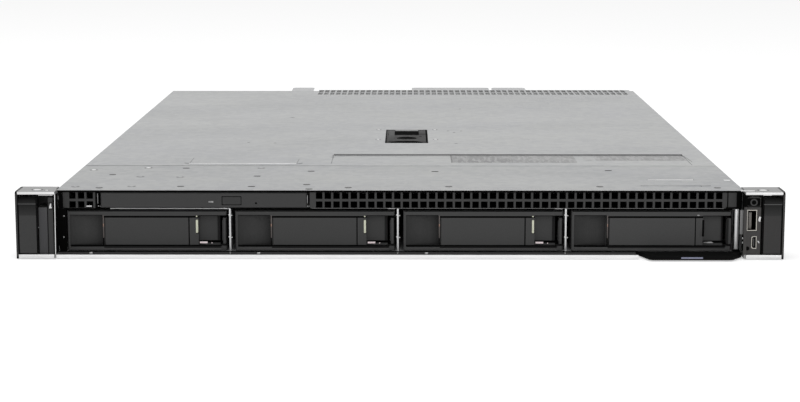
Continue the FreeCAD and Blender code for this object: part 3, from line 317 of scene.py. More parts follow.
def plain_metal(name, value, roughness, metallic=0.9, tint=NO_TINT, grain=(40.0, 900.0, 900.0)):
    """Plated or machined metal with short grain lines."""
    tree = Tree(name)
    lines = tree.noise(1.0, 3.0, 0.6, tree.stretched(grain))
    tree.join(tree.ramp(lines, shades(value * 0.9, value * 1.06, tint)), "Base Color")
    tree.join(tree.span(lines, roughness - 0.05, roughness + 0.09, 0.3, 0.7), "Roughness")
    tree.bump(lines, 0.1, 0.0001)
    tree.set(Metallic=metallic)
    return tree.material


def moulded(name, value, roughness=0.55, tint=NO_TINT, grain=1500.0, speck=0.16, sheen=0.35):
    """Injection-moulded plastic: spark-eroded grain in colour, gloss and relief."""
    tree = Tree(name)
    tooth = tree.noise(grain, 2.0, 0.55)
    patch = tree.noise(30.0, 3.0, 0.5)
    mix = tree.blend(tooth, patch, 0.3)
    tree.join(tree.ramp(mix, shades(value * (1 - speck), value * (1 + speck), tint)), "Base Color")
    tree.join(tree.span(mix, roughness - 0.06, roughness + 0.1, 0.3, 0.7), "Roughness")
    tree.bump(tooth, 0.35, TOOTH_DEPTH)
    tree.set(Specular_IOR_Level=sheen)
    return tree.material


def circuit_board(name):
    """Green solder mask with darker tracks and bright dots of tinned pads."""
    tree = Tree(name)
    tracks = tree.cells(260.0, tree.stretched((1.0, 2.2, 1.0)))
    patch = tree.noise(90.0, 3.0, 0.6)
    mix = tree.blend(tracks, patch, 0.45)
    stops = [(0.3, (0.006, 0.05, 0.022, 1.0)), (0.6, (0.014, 0.1, 0.045, 1.0)),
             (0.9, (0.03, 0.15, 0.07, 1.0))]
    tree.join(tree.ramp(mix, stops), "Base Color")
    tree.join(tree.span(patch, 0.28, 0.45, 0.3, 0.7), "Roughness")
    tree.bump(tracks, 0.2, 0.0001)
    return tree.material


def scooped(name, value):
    """Moulded plastic of a finger hollow with painted shade: lighter at its middle and darker into its
    corners.
    """
    tree = Tree(name)
    parts = tree.spread()
    across = ((0.0, 0.3), (0.2, 0.7), (0.45, 1.0), (0.72, 0.85), (0.95, 0.4))
    across = [(place, grey(value * share)) for place, share in across]
    up = ((0.0, 0.15), (0.07, 0.75), (0.4, 1.0), (0.93, 0.9), (1.0, 0.4))
    up = [(place, grey(share)) for place, share in up]
    product = tree.nodes.new("ShaderNodeMix")
    product.data_type = "RGBA"
    product.blend_type = "MULTIPLY"
    fill(product, Factor=1.0)
    tree.links.new(tree.ramp(parts["X"], across), product.inputs["A"])
    tree.links.new(tree.ramp(parts["Z"], up), product.inputs["B"])
    tree.join(product.outputs["Result"], "Base Color")
    tree.matt_tooth(1500.0, 0.3)
    return tree.material


def graded(name, low, high):
    """Moulded plastic whose tone runs evenly from its lower edge to its upper edge."""
    tree = Tree(name)
    tree.join(tree.ramp(tree.spread()["Z"], [(0.0, grey(low)), (1.0, grey(high))]), "Base Color")
    tree.matt_tooth(1100.0, 0.15)
    return tree.material


def printed_film(name, value, contrast=0.2, tint=NO_TINT):
    """A bare matt label film with a fine uneven tone."""
    tree = Tree(name)
    flecks = tree.cells(1.0, tree.stretched((620.0, 120.0, 120.0)))
    mottle = tree.blend(flecks, tree.noise(60.0, 2.0), 0.4)
    stops = [(0.3, grey(value * (1 - contrast), tint)), (0.75, grey(value * (1 + contrast), tint))]
    tree.join(tree.ramp(mottle, stops), "Base Color")
    tree.join(tree.span(mottle, 0.5, 0.65), "Roughness")
    tree.bump(mottle, 0.1, 0.00005)
    return tree.material


STEEL = galvanised("cover_steel", 0.335, 0.435, tint=(-0.002, 0.0, 0.003))
PLATE_STEEL = galvanised("plate_steel", 0.30, 0.40, tint=(-0.002, 0.0, 0.003))
FRAME_STEEL = galvanised("chassis_steel", 0.40, 0.52)
# Near-white steel of painted highlight: bright rims, domes, ribs, tabs and glints where edges catch the
# light.
HIGHLIGHT_STEEL = plain_metal("painted_highlight_steel", 0.8, 0.35, 0.25)
# Dark steel of painted shade round the ear bosses.
SEAT_SHADE_STEEL = plain_metal("seat_painted_shade", 0.12, 0.5, 0.4)
# Dark steel for small beads and edges, and painted shade in the rings round fixings, beside ribs and at the
# label's edge.
DARK_STEEL_AND_SHADE = plain_metal("dark_steel_and_painted_shade", 0.17, 0.5, 0.3)
# Near-black steel of painted shade in pressed pits and pricks.
PIT_SHADE_STEEL = plain_metal("pit_painted_shade", 0.05, 0.6, 0.2)
LINE_STEEL = plain_metal("divider_edge", 0.55, 0.35, 0.5)
SPRING_STEEL = plain_metal("spring_strip", 0.3, 0.35, 0.6)
INNER_STEEL = plain_metal("riser_steel", 0.27, 0.6, 0.1)
FILM_DARK = printed_film("label_film_dark", 0.31, 0.26)
FILM_LIGHT = printed_film("label_film_light", 0.35, 0.2)
FILM_PALE = printed_film("label_film_pale", 0.44, 0.06)
SHELF_FILM = printed_film("latch_shelf", 0.2, 0.08)
# Black plastic of the latch, lock, sockets and button cap, and black sheets of painted shade in grooves,
# gaps, slots and hollows.
BLACK_AND_SHADE = moulded("black_plastic_and_painted_shade", 0.002, 0.8, sheen=0.03)
# Flat black of painted shade in the latch's window and finger hollow and on the lock.
HOLLOW_SHADE = moulded("hollow_painted_shade", 0.002, 0.9, sheen=0.01)
COLUMN_STEEL = plain_metal("column_steel", 0.72, 0.35, 0.4)
# The hem's steel painted near white: painted highlight on the rolled front edge.
HEM_HIGHLIGHT = plain_metal("hem_painted_highlight", 0.94, 0.5, 0.05)
# Painted light: the leaf inside the right ear is drawn pale where the ear shades it.
LEAF_PAINTED_LIGHT = moulded("leaf_painted_light", 0.32, 0.6, sheen=0.15)
# Painted shade on the grips: darker towards their upper edges.
CROWN_SHADE = graded("crown_grade", 0.016, 0.002)
GRIP_SHADE = graded("grip_painted_shade", 0.027, 0.006)
SCOOP_SHADE = scooped("scoop_plastic", 0.034)
# Painted light: the blanks' lower bar is drawn lighter than the blank plastic where the hem shades it.
BAR_PAINTED_LIGHT = moulded("lower_bar_painted_light", 0.044, 0.55)
# Near-black plastic of painted shade in recesses and gaps.
SHADE_PLASTIC = moulded("recess_painted_shade", 0.008, 0.65, sheen=0.15)
WIDE_PLASTIC = moulded("wide_panel", 0.034, 0.5, tint=(0.0, 0.0, 0.002))
WING_PLASTIC = moulded("wing_paint", 0.06, 0.6, sheen=0.15)
# Pale plastic for small trims, and painted highlight along the grips' crease.
PALE_PLASTIC_AND_HIGHLIGHT = moulded("crease_plastic", 0.065, 0.5)
TONGUE_PLASTIC = moulded("tongue_plastic", 0.14, 0.5, tint=(0.02, 0.01, 0.0))
# Dark grey of the sill under the bays.
SILL_PLASTIC = moulded("sill_dark_grey", 0.045, 0.5)
WARM_PLASTIC = moulded("ear_plastic_right", 0.028, 0.5, tint=(0.003, 0.001, 0.0))
COPPER_TINT = plain_metal("contact_dot", 0.13, 0.4, 0.6, tint=(0.09, 0.01, -0.02))
CONTACT_STEEL = plain_metal("contact_strip", 0.075, 0.5, 0.5, tint=(0.015, 0.004, 0.0))
BLUE_FILM = printed_film("tag_film", 0.22, 0.08, tint=(-0.01, 0.0, 0.09))
PINK_FILM = printed_film("mark_film", 0.78, 0.08, tint=(0.06, -0.05, -0.03))
SUPPLY_STEEL = galvanised("supply_steel", 0.42, 0.52, 0.7, 0.35)
EAR_METAL = plain_metal("ear_metal", 0.275, 0.4, 0.6)
SOCKET_METAL = plain_metal("socket_metal", 0.5, 0.3, 0.8, tint=(0.03, 0.015, 0.0))
GOLD_RIM = plain_metal("socket_rim", 0.45, 0.4, 0.4, tint=(0.03, 0.01, -0.03))
SCREW_METAL = plain_metal("screw_steel", 0.55, 0.32, 0.95, grain=(500.0, 500.0, 500.0))
FIN_METAL = plain_metal("fin_aluminium", 0.66, 0.38, 0.9, grain=(900.0, 40.0, 40.0))
EAR_PLASTIC = moulded("ear_plastic", 0.022, 0.5)
GRIP_PLASTIC = moulded("grip_plastic", 0.028, 0.62, grain=1100.0, speck=0.3)
BLANK_PLASTIC = moulded("blank_plastic", 0.030, 0.55)
# Painted light: blanks 3 and 4 are drawn lighter than blanks 1 and 2, as more light falls on the right; blank
# 4's tone also serves its covers and the power ring.
BLANK_FOUR = moulded("blank_plastic_4", 0.037, 0.55)
BLANK_PAINTED_LIGHT_3 = moulded("blank_plastic_3", 0.033, 0.55)
BEZEL_PLASTIC = moulded("bezel_plastic", 0.026, 0.5)
LATCH_PLASTIC = moulded("latch_plastic", 0.020, 0.6, tint=(0.002, 0.001, 0.001), sheen=0.15)
LATCH_EDGE = moulded("latch_edge", 0.034, 0.6, sheen=0.2)
BUTTON_PLASTIC = moulded("button_plastic", 0.018, 0.4)
LAMP_PLASTIC = moulded("lamp_plastic", 0.72, 0.35, speck=0.05)
PIPE_PLASTIC = moulded("pipe_plastic", 0.6, 0.35, tint=(0.02, 0.03, -0.1), speck=0.05)
RIGHT_GRIP = moulded("right_grip", 0.020, 0.62, tint=(0.001, 0.0, 0.0), grain=1100.0, speck=0.3)
TAG_PLASTIC = moulded("tag_plastic", 0.003, 0.7, sheen=0.05)
RELEASE_PLASTIC = moulded("release_plastic", 0.25, 0.5, tint=(0.15, -0.2, -0.22))
FAN_PLASTIC = moulded("fan_plastic", 0.02, 0.45)
SHROUD_PLASTIC = moulded("shroud_plastic", 0.025, 0.5)
CHIP_PLASTIC = moulded("chip_black", 0.015, 0.4)
BOARD = circuit_board("board_green")

# Each of these has the name of its slot in the record; the frame has materials with the same names,
# so Blender adds a dot and a number to them.
FINISHES = {finish.name.partition(".")[0]: finish for finish in (
    STEEL, FRAME_STEEL, EAR_METAL, EAR_PLASTIC, GRIP_PLASTIC, BLANK_PLASTIC, BEZEL_PLASTIC, LATCH_PLASTIC,
    BUTTON_PLASTIC, LAMP_PLASTIC, TAG_PLASTIC, SOCKET_METAL, SCREW_METAL, BOARD, CHIP_PLASTIC, FIN_METAL,
    FAN_PLASTIC, SHROUD_PLASTIC, SUPPLY_STEEL, RELEASE_PLASTIC)}

# Nodes whose finish differs from their slot's
OWN_FINISHES = {
    "drive_blank_3": BLANK_PAINTED_LIGHT_3,
    "drive_blank_4": BLANK_FOUR,
    "latch_frame": BLACK_AND_SHADE,
    "latch_lock": BLACK_AND_SHADE,
    "right_ear_panel": WARM_PLASTIC,
    "right_slam_latch": RIGHT_GRIP,
    "front_micro_socket": GOLD_RIM,
    "front_top_plate": PLATE_STEEL,
    "front_usb_socket": BLACK_AND_SHADE,
}

# Body, slot and finish that several pieces share
# Black pieces on the bezel are painted shade; those on the ears are black plastic and painted shade.
BEZEL_SHADE = ("chassis", "bezel_plastic", BLACK_AND_SHADE)
EAR_BLACK_AND_SHADE = ("chassis", "ear_plastic", BLACK_AND_SHADE)
# Ear pieces in near-white steel are painted highlight.
EAR_HIGHLIGHT = ("chassis", "ear_metal", HIGHLIGHT_STEEL)


def finish_cad_nodes():
    """Each CAD node gets the finish of its slot in the record, or one of its own."""
    for part in frame["record"]["subparts"]:
        node = frame["nodes"].get(part["node"])
        if node is None:
            continue
        finish = OWN_FINISHES.get(part["node"], FINISHES[part["material_slot"]])
        if not node.material_slots:
            node.data.materials.append(finish)
        for slot in node.material_slots:
            slot.material = finish


# Front of the body

BAYS = (1, 2, 3, 4)
CAGE_EDGE = -0.4


def bay_pitch():
    """The step from one divider to the next, a little less than from blank to blank."""
    return (sides("drive_blank_4")[0] - sides("drive_blank_1")[0]) / 3 - 0.2


def front_sill():
    """The dark grey sill under the bays, black strips of painted shade in the gaps above and beside it, and
    the small bright tabs that hold it.
    """
    start = sides("left_ear_bracket")[1] + 0.1
    end = sides("information_tag")[0] - 1.2
    boxes("front_sill", "chassis", "bezel_plastic", SILL_PLASTIC,
          (start, end, -0.5, -0.42, 1.06, 2.5),
          (start + 1.1, end, -9.5, -0.5, 1.02, 1.14))
    # Black strips of painted shade in the gap between the sill and the blanks, and beside the tag.
    boxes("sill_gap_shade", *BEZEL_SHADE,
          (start, end, -0.52, -0.42, 2.4, 3.2),
          (end, sides("bay_cage")[1] + 0.3, -0.52, -0.42, 1.06, 3.25))
    tabs = Form()
    for number in BAYS[:3]:
        x = sides(f"drive_blank_{number}")[0] + 14.0
        tabs.box(x - 0.4, x + 1.6, -1.0, -0.5, 1.1, 2.3, 0.12)
    tabs.made("sill_tabs", "chassis", "chassis_steel", LINE_STEEL)


def front_hem():
    """The rolled hem along the lower front edge, painted near white as a painted highlight."""
    left = sides("left_ear_bracket")[1] + 0.05
    right = sides("information_tag")[0] - 0.6
    low, high, middle = 0.05, 2.55, -10.62
    outline = [(middle - 0.1 - 0.22 * math.sin(math.pi * step / 6), low + (high - low) * step / 6)
               for step in range(7)]
    outline += [(middle + 1.1, high), (middle + 1.1, high - 0.1), (middle - 0.02, high - 0.1),
                (middle - 0.02, low)]
    form = Form()
    form.swept(outline, left, right, "side")
    form.made("front_hem", "chassis", "chassis_steel", HEM_HIGHLIGHT)


def side_columns():
    """Black sheets of painted shade at the left of the bays and beside the column, and the rolled steel
    column at their right.
    """
    left = sides("left_ear_bracket")[1]
    blank_left = sides("drive_blank_1")[0]
    # Black sheets of painted shade in the gap between the left ear and the bays, and beside the grille.
    boxes("left_column_shade", *BEZEL_SHADE,
          (left + 0.12, blank_left - 0.35, CAGE_EDGE - 0.45, CAGE_EDGE - 0.05, 3.12, 30.5),
          (left + 0.12, sides("front_grilles")[0] - 0.1, -0.4, 0.2, 30.5, 40.7))
    pins = Form()
    for x, z in ((blank_left - 1.9, 25.6), (blank_left - 2.3, 12.1)):
        pins.turned((x, CAGE_EDGE - 0.45, z), [(0, 0.1), (0.5, 0.1), (0.45, -0.2), (0, -0.32)], "y", 12)
    pins.box(left + 0.05, left + 0.45, -0.7, -0.4, 36.2, 38.4)
    pins.box(left + 0.15, left + 0.4, -0.95, -0.85, 4.2, 6.4)
    pins.box(left + 0.05, left + 0.5, -0.95, -0.85, 3.3, 3.8)
    pins.made("left_column_pins", "chassis", "chassis_steel", SPRING_STEEL)

    right = sides("bay_cage")[1]
    radius = 1.58
    column = Form()
    profile = [(0, 4.6), (radius * 0.8, 4.6), (radius, 5.6), (radius, 29.2), (radius * 0.8, 30.1), (0, 30.1)]
    column.turned((right - 2.6, 0.9, 0.0), profile, "z", 40)
    column.made("rolled_column", "chassis", "chassis_steel", COLUMN_STEEL)
    # Black sheets of painted shade beside and behind the rolled column.
    boxes("column_shades", *BEZEL_SHADE,
          (right - 5.1, right - 4.0, -0.55, -0.42, 2.6, 30.2),
          (right - 1.25, right + 0.05, -0.55, 3.0, 2.6, 30.2),
          (right - 4.0, right - 1.0, -0.44, 3.0, 2.6, 4.5))


def divider_details():
    """Bright edges of the bay dividers with their small spring tabs."""
    left = sides("bay_cage")[0] + 0.55
    edges = Form()
    for number in BAYS[:3]:
        x = left + number * bay_pitch()
        outline = round_corners(x - 0.5, x + 0.28, 1.2, 30.4, 0.3)
        edges.swept(outline, CAGE_EDGE - 0.12, CAGE_EDGE + 0.6, "front", 0.1)
        for z in (26.4, 12.3):
            edges.box(x - 1.05, x - 0.3, CAGE_EDGE - 0.3, CAGE_EDGE - 0.1, z - 0.4, z + 0.3, 0.1)
            edges.box(x + 0.7, x + 1.5, CAGE_EDGE - 0.3, CAGE_EDGE - 0.1, z - 0.7, z - 0.1, 0.1)
    edges.made("divider_edges", "chassis", "chassis_steel", LINE_STEEL)


def optical_details():
    """The drive's side springs and lower edge, black sheets of painted shade along the bay roofs, round the
    grille holes and behind the strip, painted glints on the strip, the lamp lens and a ring of painted shade
    round its button.
    """
    left, right, front, *_ = sides("optical_tray")
    boxes("drive_springs", "chassis", "chassis_steel", SPRING_STEEL,
          (left - 2.0, left - 1.7, 0.9, 1.1, 33.2, 39.6, 0.05),
          (left - 1.7, left - 1.2, 0.7, 0.9, 31.4, 32.1, 0.05),
          (right + 0.25, right + 0.55, 0.3, 0.5, 33.6, 38.8, 0.05),
          (right + 0.25, right + 0.6, 0.3, 0.5, 31.4, 32.2, 0.05))
    # Black sheets of painted shade: under the bay roofs, at the drive's side, at the front plate's edge and
    # round each grille hole.
    shade = Form()
    cage_left, cage_right, *_ = sides("bay_cage")
    wall = 1.15
    pitch = bay_pitch()
    for number in BAYS:
        x0 = cage_left + (number - 1) * pitch + wall
        x1 = x0 + pitch - wall if number > 1 else left + 5.6
        shade.box(x0, x1, 2.75, 2.95, 29.4, 30.3)
    shade.box(left - 3.3, left - 2.2, 0.7, 2.4, 30.6, 40.6)
    shade.box(212.5, 215.9, -0.3, 0.2, 30.5, 40.7)
    shade.box(206.7, 207.15, -0.1, 0.55, 31.0, 40.6)
    shade.box(205.9, 212.5, -0.1, 0.55, 30.4, 31.3)
    plate_left, plate_right, plate_front, _, plate_low, _ = sides("front_top_plate")
    shade.box(plate_left + 0.1, plate_right - 0.1, plate_front - 0.1, plate_front - 0.02, plate_low - 0.1,
              SHEET_TOP - 0.12)
    for first, count in GRILLES:
        for column in range(count):
            x = first + column * GRILLE_PITCH
            x0, x1 = x - HOLE_HALF, x + HOLE_HALF
            for z in GRILLE_ROWS:
                z0, z1 = z - HOLE_HALF, z + HOLE_HALF
                frame_of(shade, x0 - 0.1, x1 + 0.1, z0 - 0.12, z1 + 0.1, 0.16, 0.5, 0.62)
                shade.box(x0, x1, 0.62, 2.55, z0 - 0.02, z0 + 0.04)
    shade.made("strip_shade", *BEZEL_SHADE)
    # A black floor of painted shade behind the strip.
    boxes("strip_floor_shade", *BEZEL_SHADE,
          (cage_left + 0.7, cage_right - 2.5, 3.1, 60.0, 30.12, 30.22))
    boxes("strip_backing_edge", "chassis", "chassis_steel", DARK_STEEL_AND_SHADE,
          (right + 3.0, sides("front_grilles")[1] - 9.0, -0.02, 0.6, 30.42, 30.62))
    # Painted glints on the bay roofs' edges and by the left grille.
    glint = Form()
    for number in BAYS[:3]:
        x1 = cage_left + number * pitch - 1.2
        glint.box(x1 - 5.0, x1, 1.9, 2.7, 29.75, 30.35, 0.05)
    glint.box(-198.2, -194.8, 0.3, 0.6, 31.3, 32.1, 0.05)
    glint.made("strip_glints", "chassis", "chassis_steel", LINE_STEEL)
    x0, x1, _, _, z0, z1 = sides("optical_eject_button")
    # A black ring of painted shade in the groove round the eject button.
    ring("eject_ring_shade", "optical_tray", "bezel_plastic", BLACK_AND_SHADE,
         x0 - 0.5, x1 + 0.4, z0 - 0.45, z1 + 0.45, 0.5, front - 0.03, front + 0.2)
    boxes("drive_lamp", "optical_tray", "lamp_plastic", FILM_DARK,
          (x0 - 8.9, x0 - 5.8, front + 0.05, front + 0.7, 34.05, 35.05, 0.12))


def blank_details(number):
    """One blank's finger scoop, black lines of painted shade in its grooves and gaps, contact strip, light
    pipe and lower mark.
    """
    body = f"drive_blank_{number}"
    left = sides(body)[0]
    # The scoop's finish paints shade into the hollow's corners.
    scoop = Form()
    steps = 18
    face = []
    for step in range(steps + 1):
        share = step / steps
        hollow = math.sin(math.pi / 2 * min(1.0, share * 1.15)) ** 1.25
        face.append((left + 1.7 + 20.4 * share, 0.5 + 5.75 * hollow))
    rear = [(x, depth + 0.08) for x, depth in reversed(face)]
    scoop.swept(face + rear, 6.02, 26.18, "plan")
    scoop.made(f"finger_scoop_{number}", body, "blank_plastic", SCOOP_SHADE)

    def row_of(name, slot, finish, *rows):
        """Boxes whose places across count from the blank's left side."""
        placed = [(left + x0, left + x1, *rest) for x0, x1, *rest in rows]
        boxes(f"{name}_{number}", body, slot, finish, *placed)

    groove, cheek = (76.7, 94.6) if number < 4 else (78.0, 95.4)
    # Black lines of painted shade along the grooves, the pocket edges and the gap over the blank's top.
    row_of("groove_shade_lines", "blank_plastic", BLACK_AND_SHADE,
           (23.0, 83.0, -0.02, 0.3, 24.4, 25.6),
           (23.0, 97.6, -0.02, 0.3, 5.95, 6.8),
           (groove, groove + 0.65, -0.02, 0.3, 6.8, 24.4),
           (1.7, 23.0, -0.02, 0.6, 5.7, 6.9),
           (1.7, 23.0, 0.3, 0.6, 25.9, 26.3),
           (22.3, 23.0, 0.3, 0.6, 6.5, 26.0),
           (83.1, 97.4, 0.1, 0.4, 25.6, 26.2),
           (83.1, 96.6, 4.6, 5.2, 7.6, 9.0),
           (0.6, 100.2, -0.02, 0.4, 28.45, 28.82))
    # The lower bar in a lighter tone: painted light against the hem's shade.
    row_of("lower_bar_painted_light", "blank_plastic", BAR_PAINTED_LIGHT,
           (0.8, 97.2, -0.03, 0.05, 3.4, 4.9, 0.01),
           (0.8, 23.0, -0.03, 0.05, 4.9, 5.7, 0.01))
    # Bands of painted shade under the plates and inside the right pocket.
    row_of("shade_band", "blank_plastic", SHADE_PLASTIC,
           (23.0, 97.2, -0.03, 0.05, 4.9, 5.95),
           (cheek, 96.3, 5.0, 5.4, 8.7, 25.6))
    if number == 4:
        row_of("groove_cover", "blank_plastic", BLANK_FOUR,
               (76.5, 77.5, -0.02, 0.1, 6.8, 24.4),
               (99.3, 100.75, -0.03, 0.1, 7.8, 24.2))
        boxes("release_shade_4", "blank_release_4", "blank_plastic", SHADE_PLASTIC,
              (left + 97.9, left + 99.25, -0.04, -0.01, 7.9, 24.1))
    row_of("contact_strip", "screw_steel", CONTACT_STEEL, (22.45, 23.1, -0.02, 0.4, 11.5, 25.8, 0.02))
    row_of("contact_bead", "screw_steel", COPPER_TINT, (22.5, 23.1, -0.08, 0.0, 18.7, 20.5, 0.03))

    if number < 4:
        pipe = Form()
        pipe.swept(round_corners(left + 81.35, left + 82.65, 14.6, 23.0, 0.4), 0.05, 2.6, "front", 0.12)
        pipe.swept(round_corners(left + 81.5, left + 82.4, 24.9, 25.7, 0.3), -0.06, 0.4, "front", 0.05)
        pipe.made(f"light_pipe_{number}", body, "lamp_plastic", PIPE_PLASTIC)
    else:
        # A black strip of painted shade in blank 4's empty light slot.
        row_of("light_slot", "lamp_plastic", BLACK_AND_SHADE, (82.6, 83.9, -0.04, 0.1, 12.6, 23.2, 0.02))
        row_of("slot_cover", "blank_plastic", BLANK_FOUR, (81.2, 82.6, -0.03, 0.05, 12.6, 23.5, 0.01))

    mark = Form()
    if number < 4:
        mark.box(left + 83.7, left + 88.6, 0.1, 0.75, 7.9, 9.0, 0.1)
        mark.box(left + 91.0, left + 91.7, 0.25, 0.6, 7.9, 8.4, 0.1)
        mark.made(f"lower_mark_{number}", body, "blank_plastic", PINK_FILM)
    else:
        outline = ((83.6, 8.9), (88.6, 9.2), (90.0, 8.4), (86.5, 8.3), (84.2, 8.5))
        mark.swept([(left + x, z) for x, z in outline], 0.25, 0.6, "front", 0.05)
        mark.swept(round_corners(left + 79.4, left + 80.8, 25.9, 26.5, 0.25), -0.05, 0.3, "front", 0.03)
        mark.made(f"lower_mark_{number}", body, "blank_plastic", FILM_DARK)


# Ears

PANEL_FRONT = -9.66
EAR_OUTER = 239.6
EAR_TOP = 42.58
GRIP_FRONT = -10.84
RIM_LEVELS = (-11.14, -10.9)


def ear_details():
    """Front rims and bosses with painted highlight on seats of painted shade, dark inner liners, black sheets
    of painted shade and painted glints, and what the two panels carry.
    """
    for side, name in ((-1, "left"), (1, "right")):
        # Bright front rims: painted highlight on the ears' front edges.
        rim = Form()
        for near, low, high in ((216.2, 40.95, 42.55), (217.3, 0.42, 2.75)):
            outline = round_corners(*mirrored(side, near, EAR_OUTER), low, high, 0.5)
            rim.swept(outline, *RIM_LEVELS, "front", 0.08)
        rim.made(f"{name}_ear_rim", *EAR_HIGHLIGHT)
        border = Form()
        outline = round_corners(*mirrored(side, 239.7, 240.98), 0.1, 42.5, 0.4)
        border.swept(outline, -11.19, -10.95, "front", 0.05)
        border.box(*mirrored(side, 226.3, 227.4), PANEL_FRONT, -9.5, 2.5, 41.9)
        border.made(f"{name}_ear_border", *EAR_BLACK_AND_SHADE)

        # Each boss: a dark seat of painted shade and a dome of painted highlight.
        seat = Form()
        boss = Form()
        large, small = side * 228.5, side * 222.0
        seat.turned((large, -2.0, EAR_TOP), [(0, 0), (3.9, 0), (3.8, 0.06), (0, 0.06)], "z", 28)
        seat.turned((small, -4.6, EAR_TOP), [(0, 0), (1.7, 0), (1.6, 0.06), (0, 0.06)], "z", 18)
        boss.turned((large, -2.4, EAR_TOP + 0.04), [(0, 0), (2.6, 0), (2.3, 0.15), (0, 0.17)], "z", 28)
        boss.turned((small, -4.8, EAR_TOP + 0.04), [(0, 0), (1.1, 0), (0.9, 0.14), (0, 0.16)], "z", 18)
        seat.made(f"{name}_ear_seat_shade", "chassis", "ear_metal", SEAT_SHADE_STEEL)
        boss.made(f"{name}_ear_boss_highlight", *EAR_HIGHLIGHT)

        # On each grip, a crown and a face of painted shade that darken towards the top.
        latch = f"{name}_slam_latch"
        crown = Form()
        x0, x1 = mirrored(side, 227.6, 239.5)
        crown.swept([(GRIP_FRONT, 34.95), (-7.7, 38.72), (-7.55, 38.66), (-10.7, 34.9)], x0, x1, "side")
        crown.made(f"{name}_grip_crown", latch, "grip_plastic", CROWN_SHADE)
        boxes(f"{name}_grip_shade", latch, "grip_plastic", GRIP_SHADE,
              (x0 + 0.05, x1 - 0.05, GRIP_FRONT, -10.79, 27.6, 34.6))
        # A pale line of painted highlight along each grip's crease.
        boxes(f"{name}_grip_crease_highlight", latch, "grip_plastic", PALE_PLASTIC_AND_HIGHLIGHT,
              (x0 + 0.1, x1 - 0.6, -10.9, -10.7, 34.62, 35.1, 0.05))
        boxes(f"{name}_grip_seam", latch, "grip_plastic", BLACK_AND_SHADE,
              (*mirrored(side, 227.45, 228.1), -10.86, -10.6, 3.7, 38.0),
              (*mirrored(side, 238.9, 239.58), -10.86, -10.6, 3.7, 34.5))

    boxes("left_ear_liner", *EAR_BLACK_AND_SHADE,
          (-216.08, -215.98, -10.3, -0.9, 2.9, 40.6),
          (-239.6, -217.3, -4.0, -2.6, 39.4, 40.8))
    # A black sheet of painted shade at the left ear's inner edge, with thin lines of painted highlight beside
    # it.
    boxes("left_ear_mask", *EAR_BLACK_AND_SHADE,
          (-217.45, -215.9, -10.62, -10.38, 2.85, 40.9))
    edge = Form()
    outline = ((-216.75, 2.85), (-216.25, 2.85), (-215.85, 40.9), (-216.3, 40.9))
    edge.swept(outline, -10.78, -10.62, "front", 0.03)
    edge.box(-226.4, -217.4, -10.95, -10.85, 40.3, 40.6, 0.02)
    edge.made("left_ear_highlight", *EAR_HIGHLIGHT)
    boxes("wide_panel_face", "chassis", "ear_plastic", WIDE_PLASTIC,
          (-226.65, -221.45, -9.68, -9.62, 2.5, 32.4, 0.02))
    form = Form()
    form.turned((-226.9, -9.7, 19.8), [(0, 0), (0.35, 0), (0.3, -0.1), (0, -0.14)], "y", 12)
    form.made("panel_bead", "chassis", "ear_metal", DARK_STEEL_AND_SHADE)

    boxes("right_wing_shade", *EAR_BLACK_AND_SHADE,
          (215.94, 216.08, -10.62, -0.9, 30.6, 41.2),
          (215.94, 217.7, -10.62, -10.38, 33.2, 41.0),
          (214.9, 216.05, -8.0, -7.9, 5.0, 14.9))
    boxes("right_ear_wing", "chassis", "ear_metal", WING_PLASTIC,
          (215.98, 216.06, -10.3, -0.9, 2.9, 30.6),
          (214.1, 214.9, -5.0, -4.9, 5.0, 15.0))
    # The leaf's pale tone is painted light in the ear's shade.
    boxes("right_ear_leaf", "chassis", "ear_metal", LEAF_PAINTED_LIGHT,
          (214.1, 216.0, -5.0, -4.9, 15.0, 30.4, 0.03))
    boxes("right_wing_front", "chassis", "ear_plastic", WARM_PLASTIC,
          (215.55, 217.45, -10.6, -10.38, 2.9, 33.2))
    # Painted glints on the right ear's inner wall and on its top.
    glints = Form()
    for z in (9.4, 12.2):
        glints.box(215.15, 215.8, -8.1, -8.0, z + 0.2, z + 1.3, 0.02)
    glints.box(214.0, 222.5, -6.6, -3.2, 42.6, 42.66, 0.02)
    glints.made("right_ear_glints", *EAR_HIGHLIGHT)


def status_lens():
    """The small pale lamp in the status button."""
    x0, x1, front, _, z0, z1 = sides("status_button")
    middle = (x0 + x1) / 2
    outline = [(middle - 0.9, z0 + 0.4), (middle + 0.8, z0 + 0.5), (middle + 0.8, z0 + 1.3),
               (middle + 0.35, z0 + 1.5), (middle + 0.55, z1 - 0.5), (middle - 0.2, z1 - 0.5),
               (middle - 0.8, z0 + 1.2)]
    form = Form()
    form.swept(outline, front - 0.06, front + 0.2, "front", 0.05)
    form.made("status_lens", "status_button", "lamp_plastic", LAMP_PLASTIC)


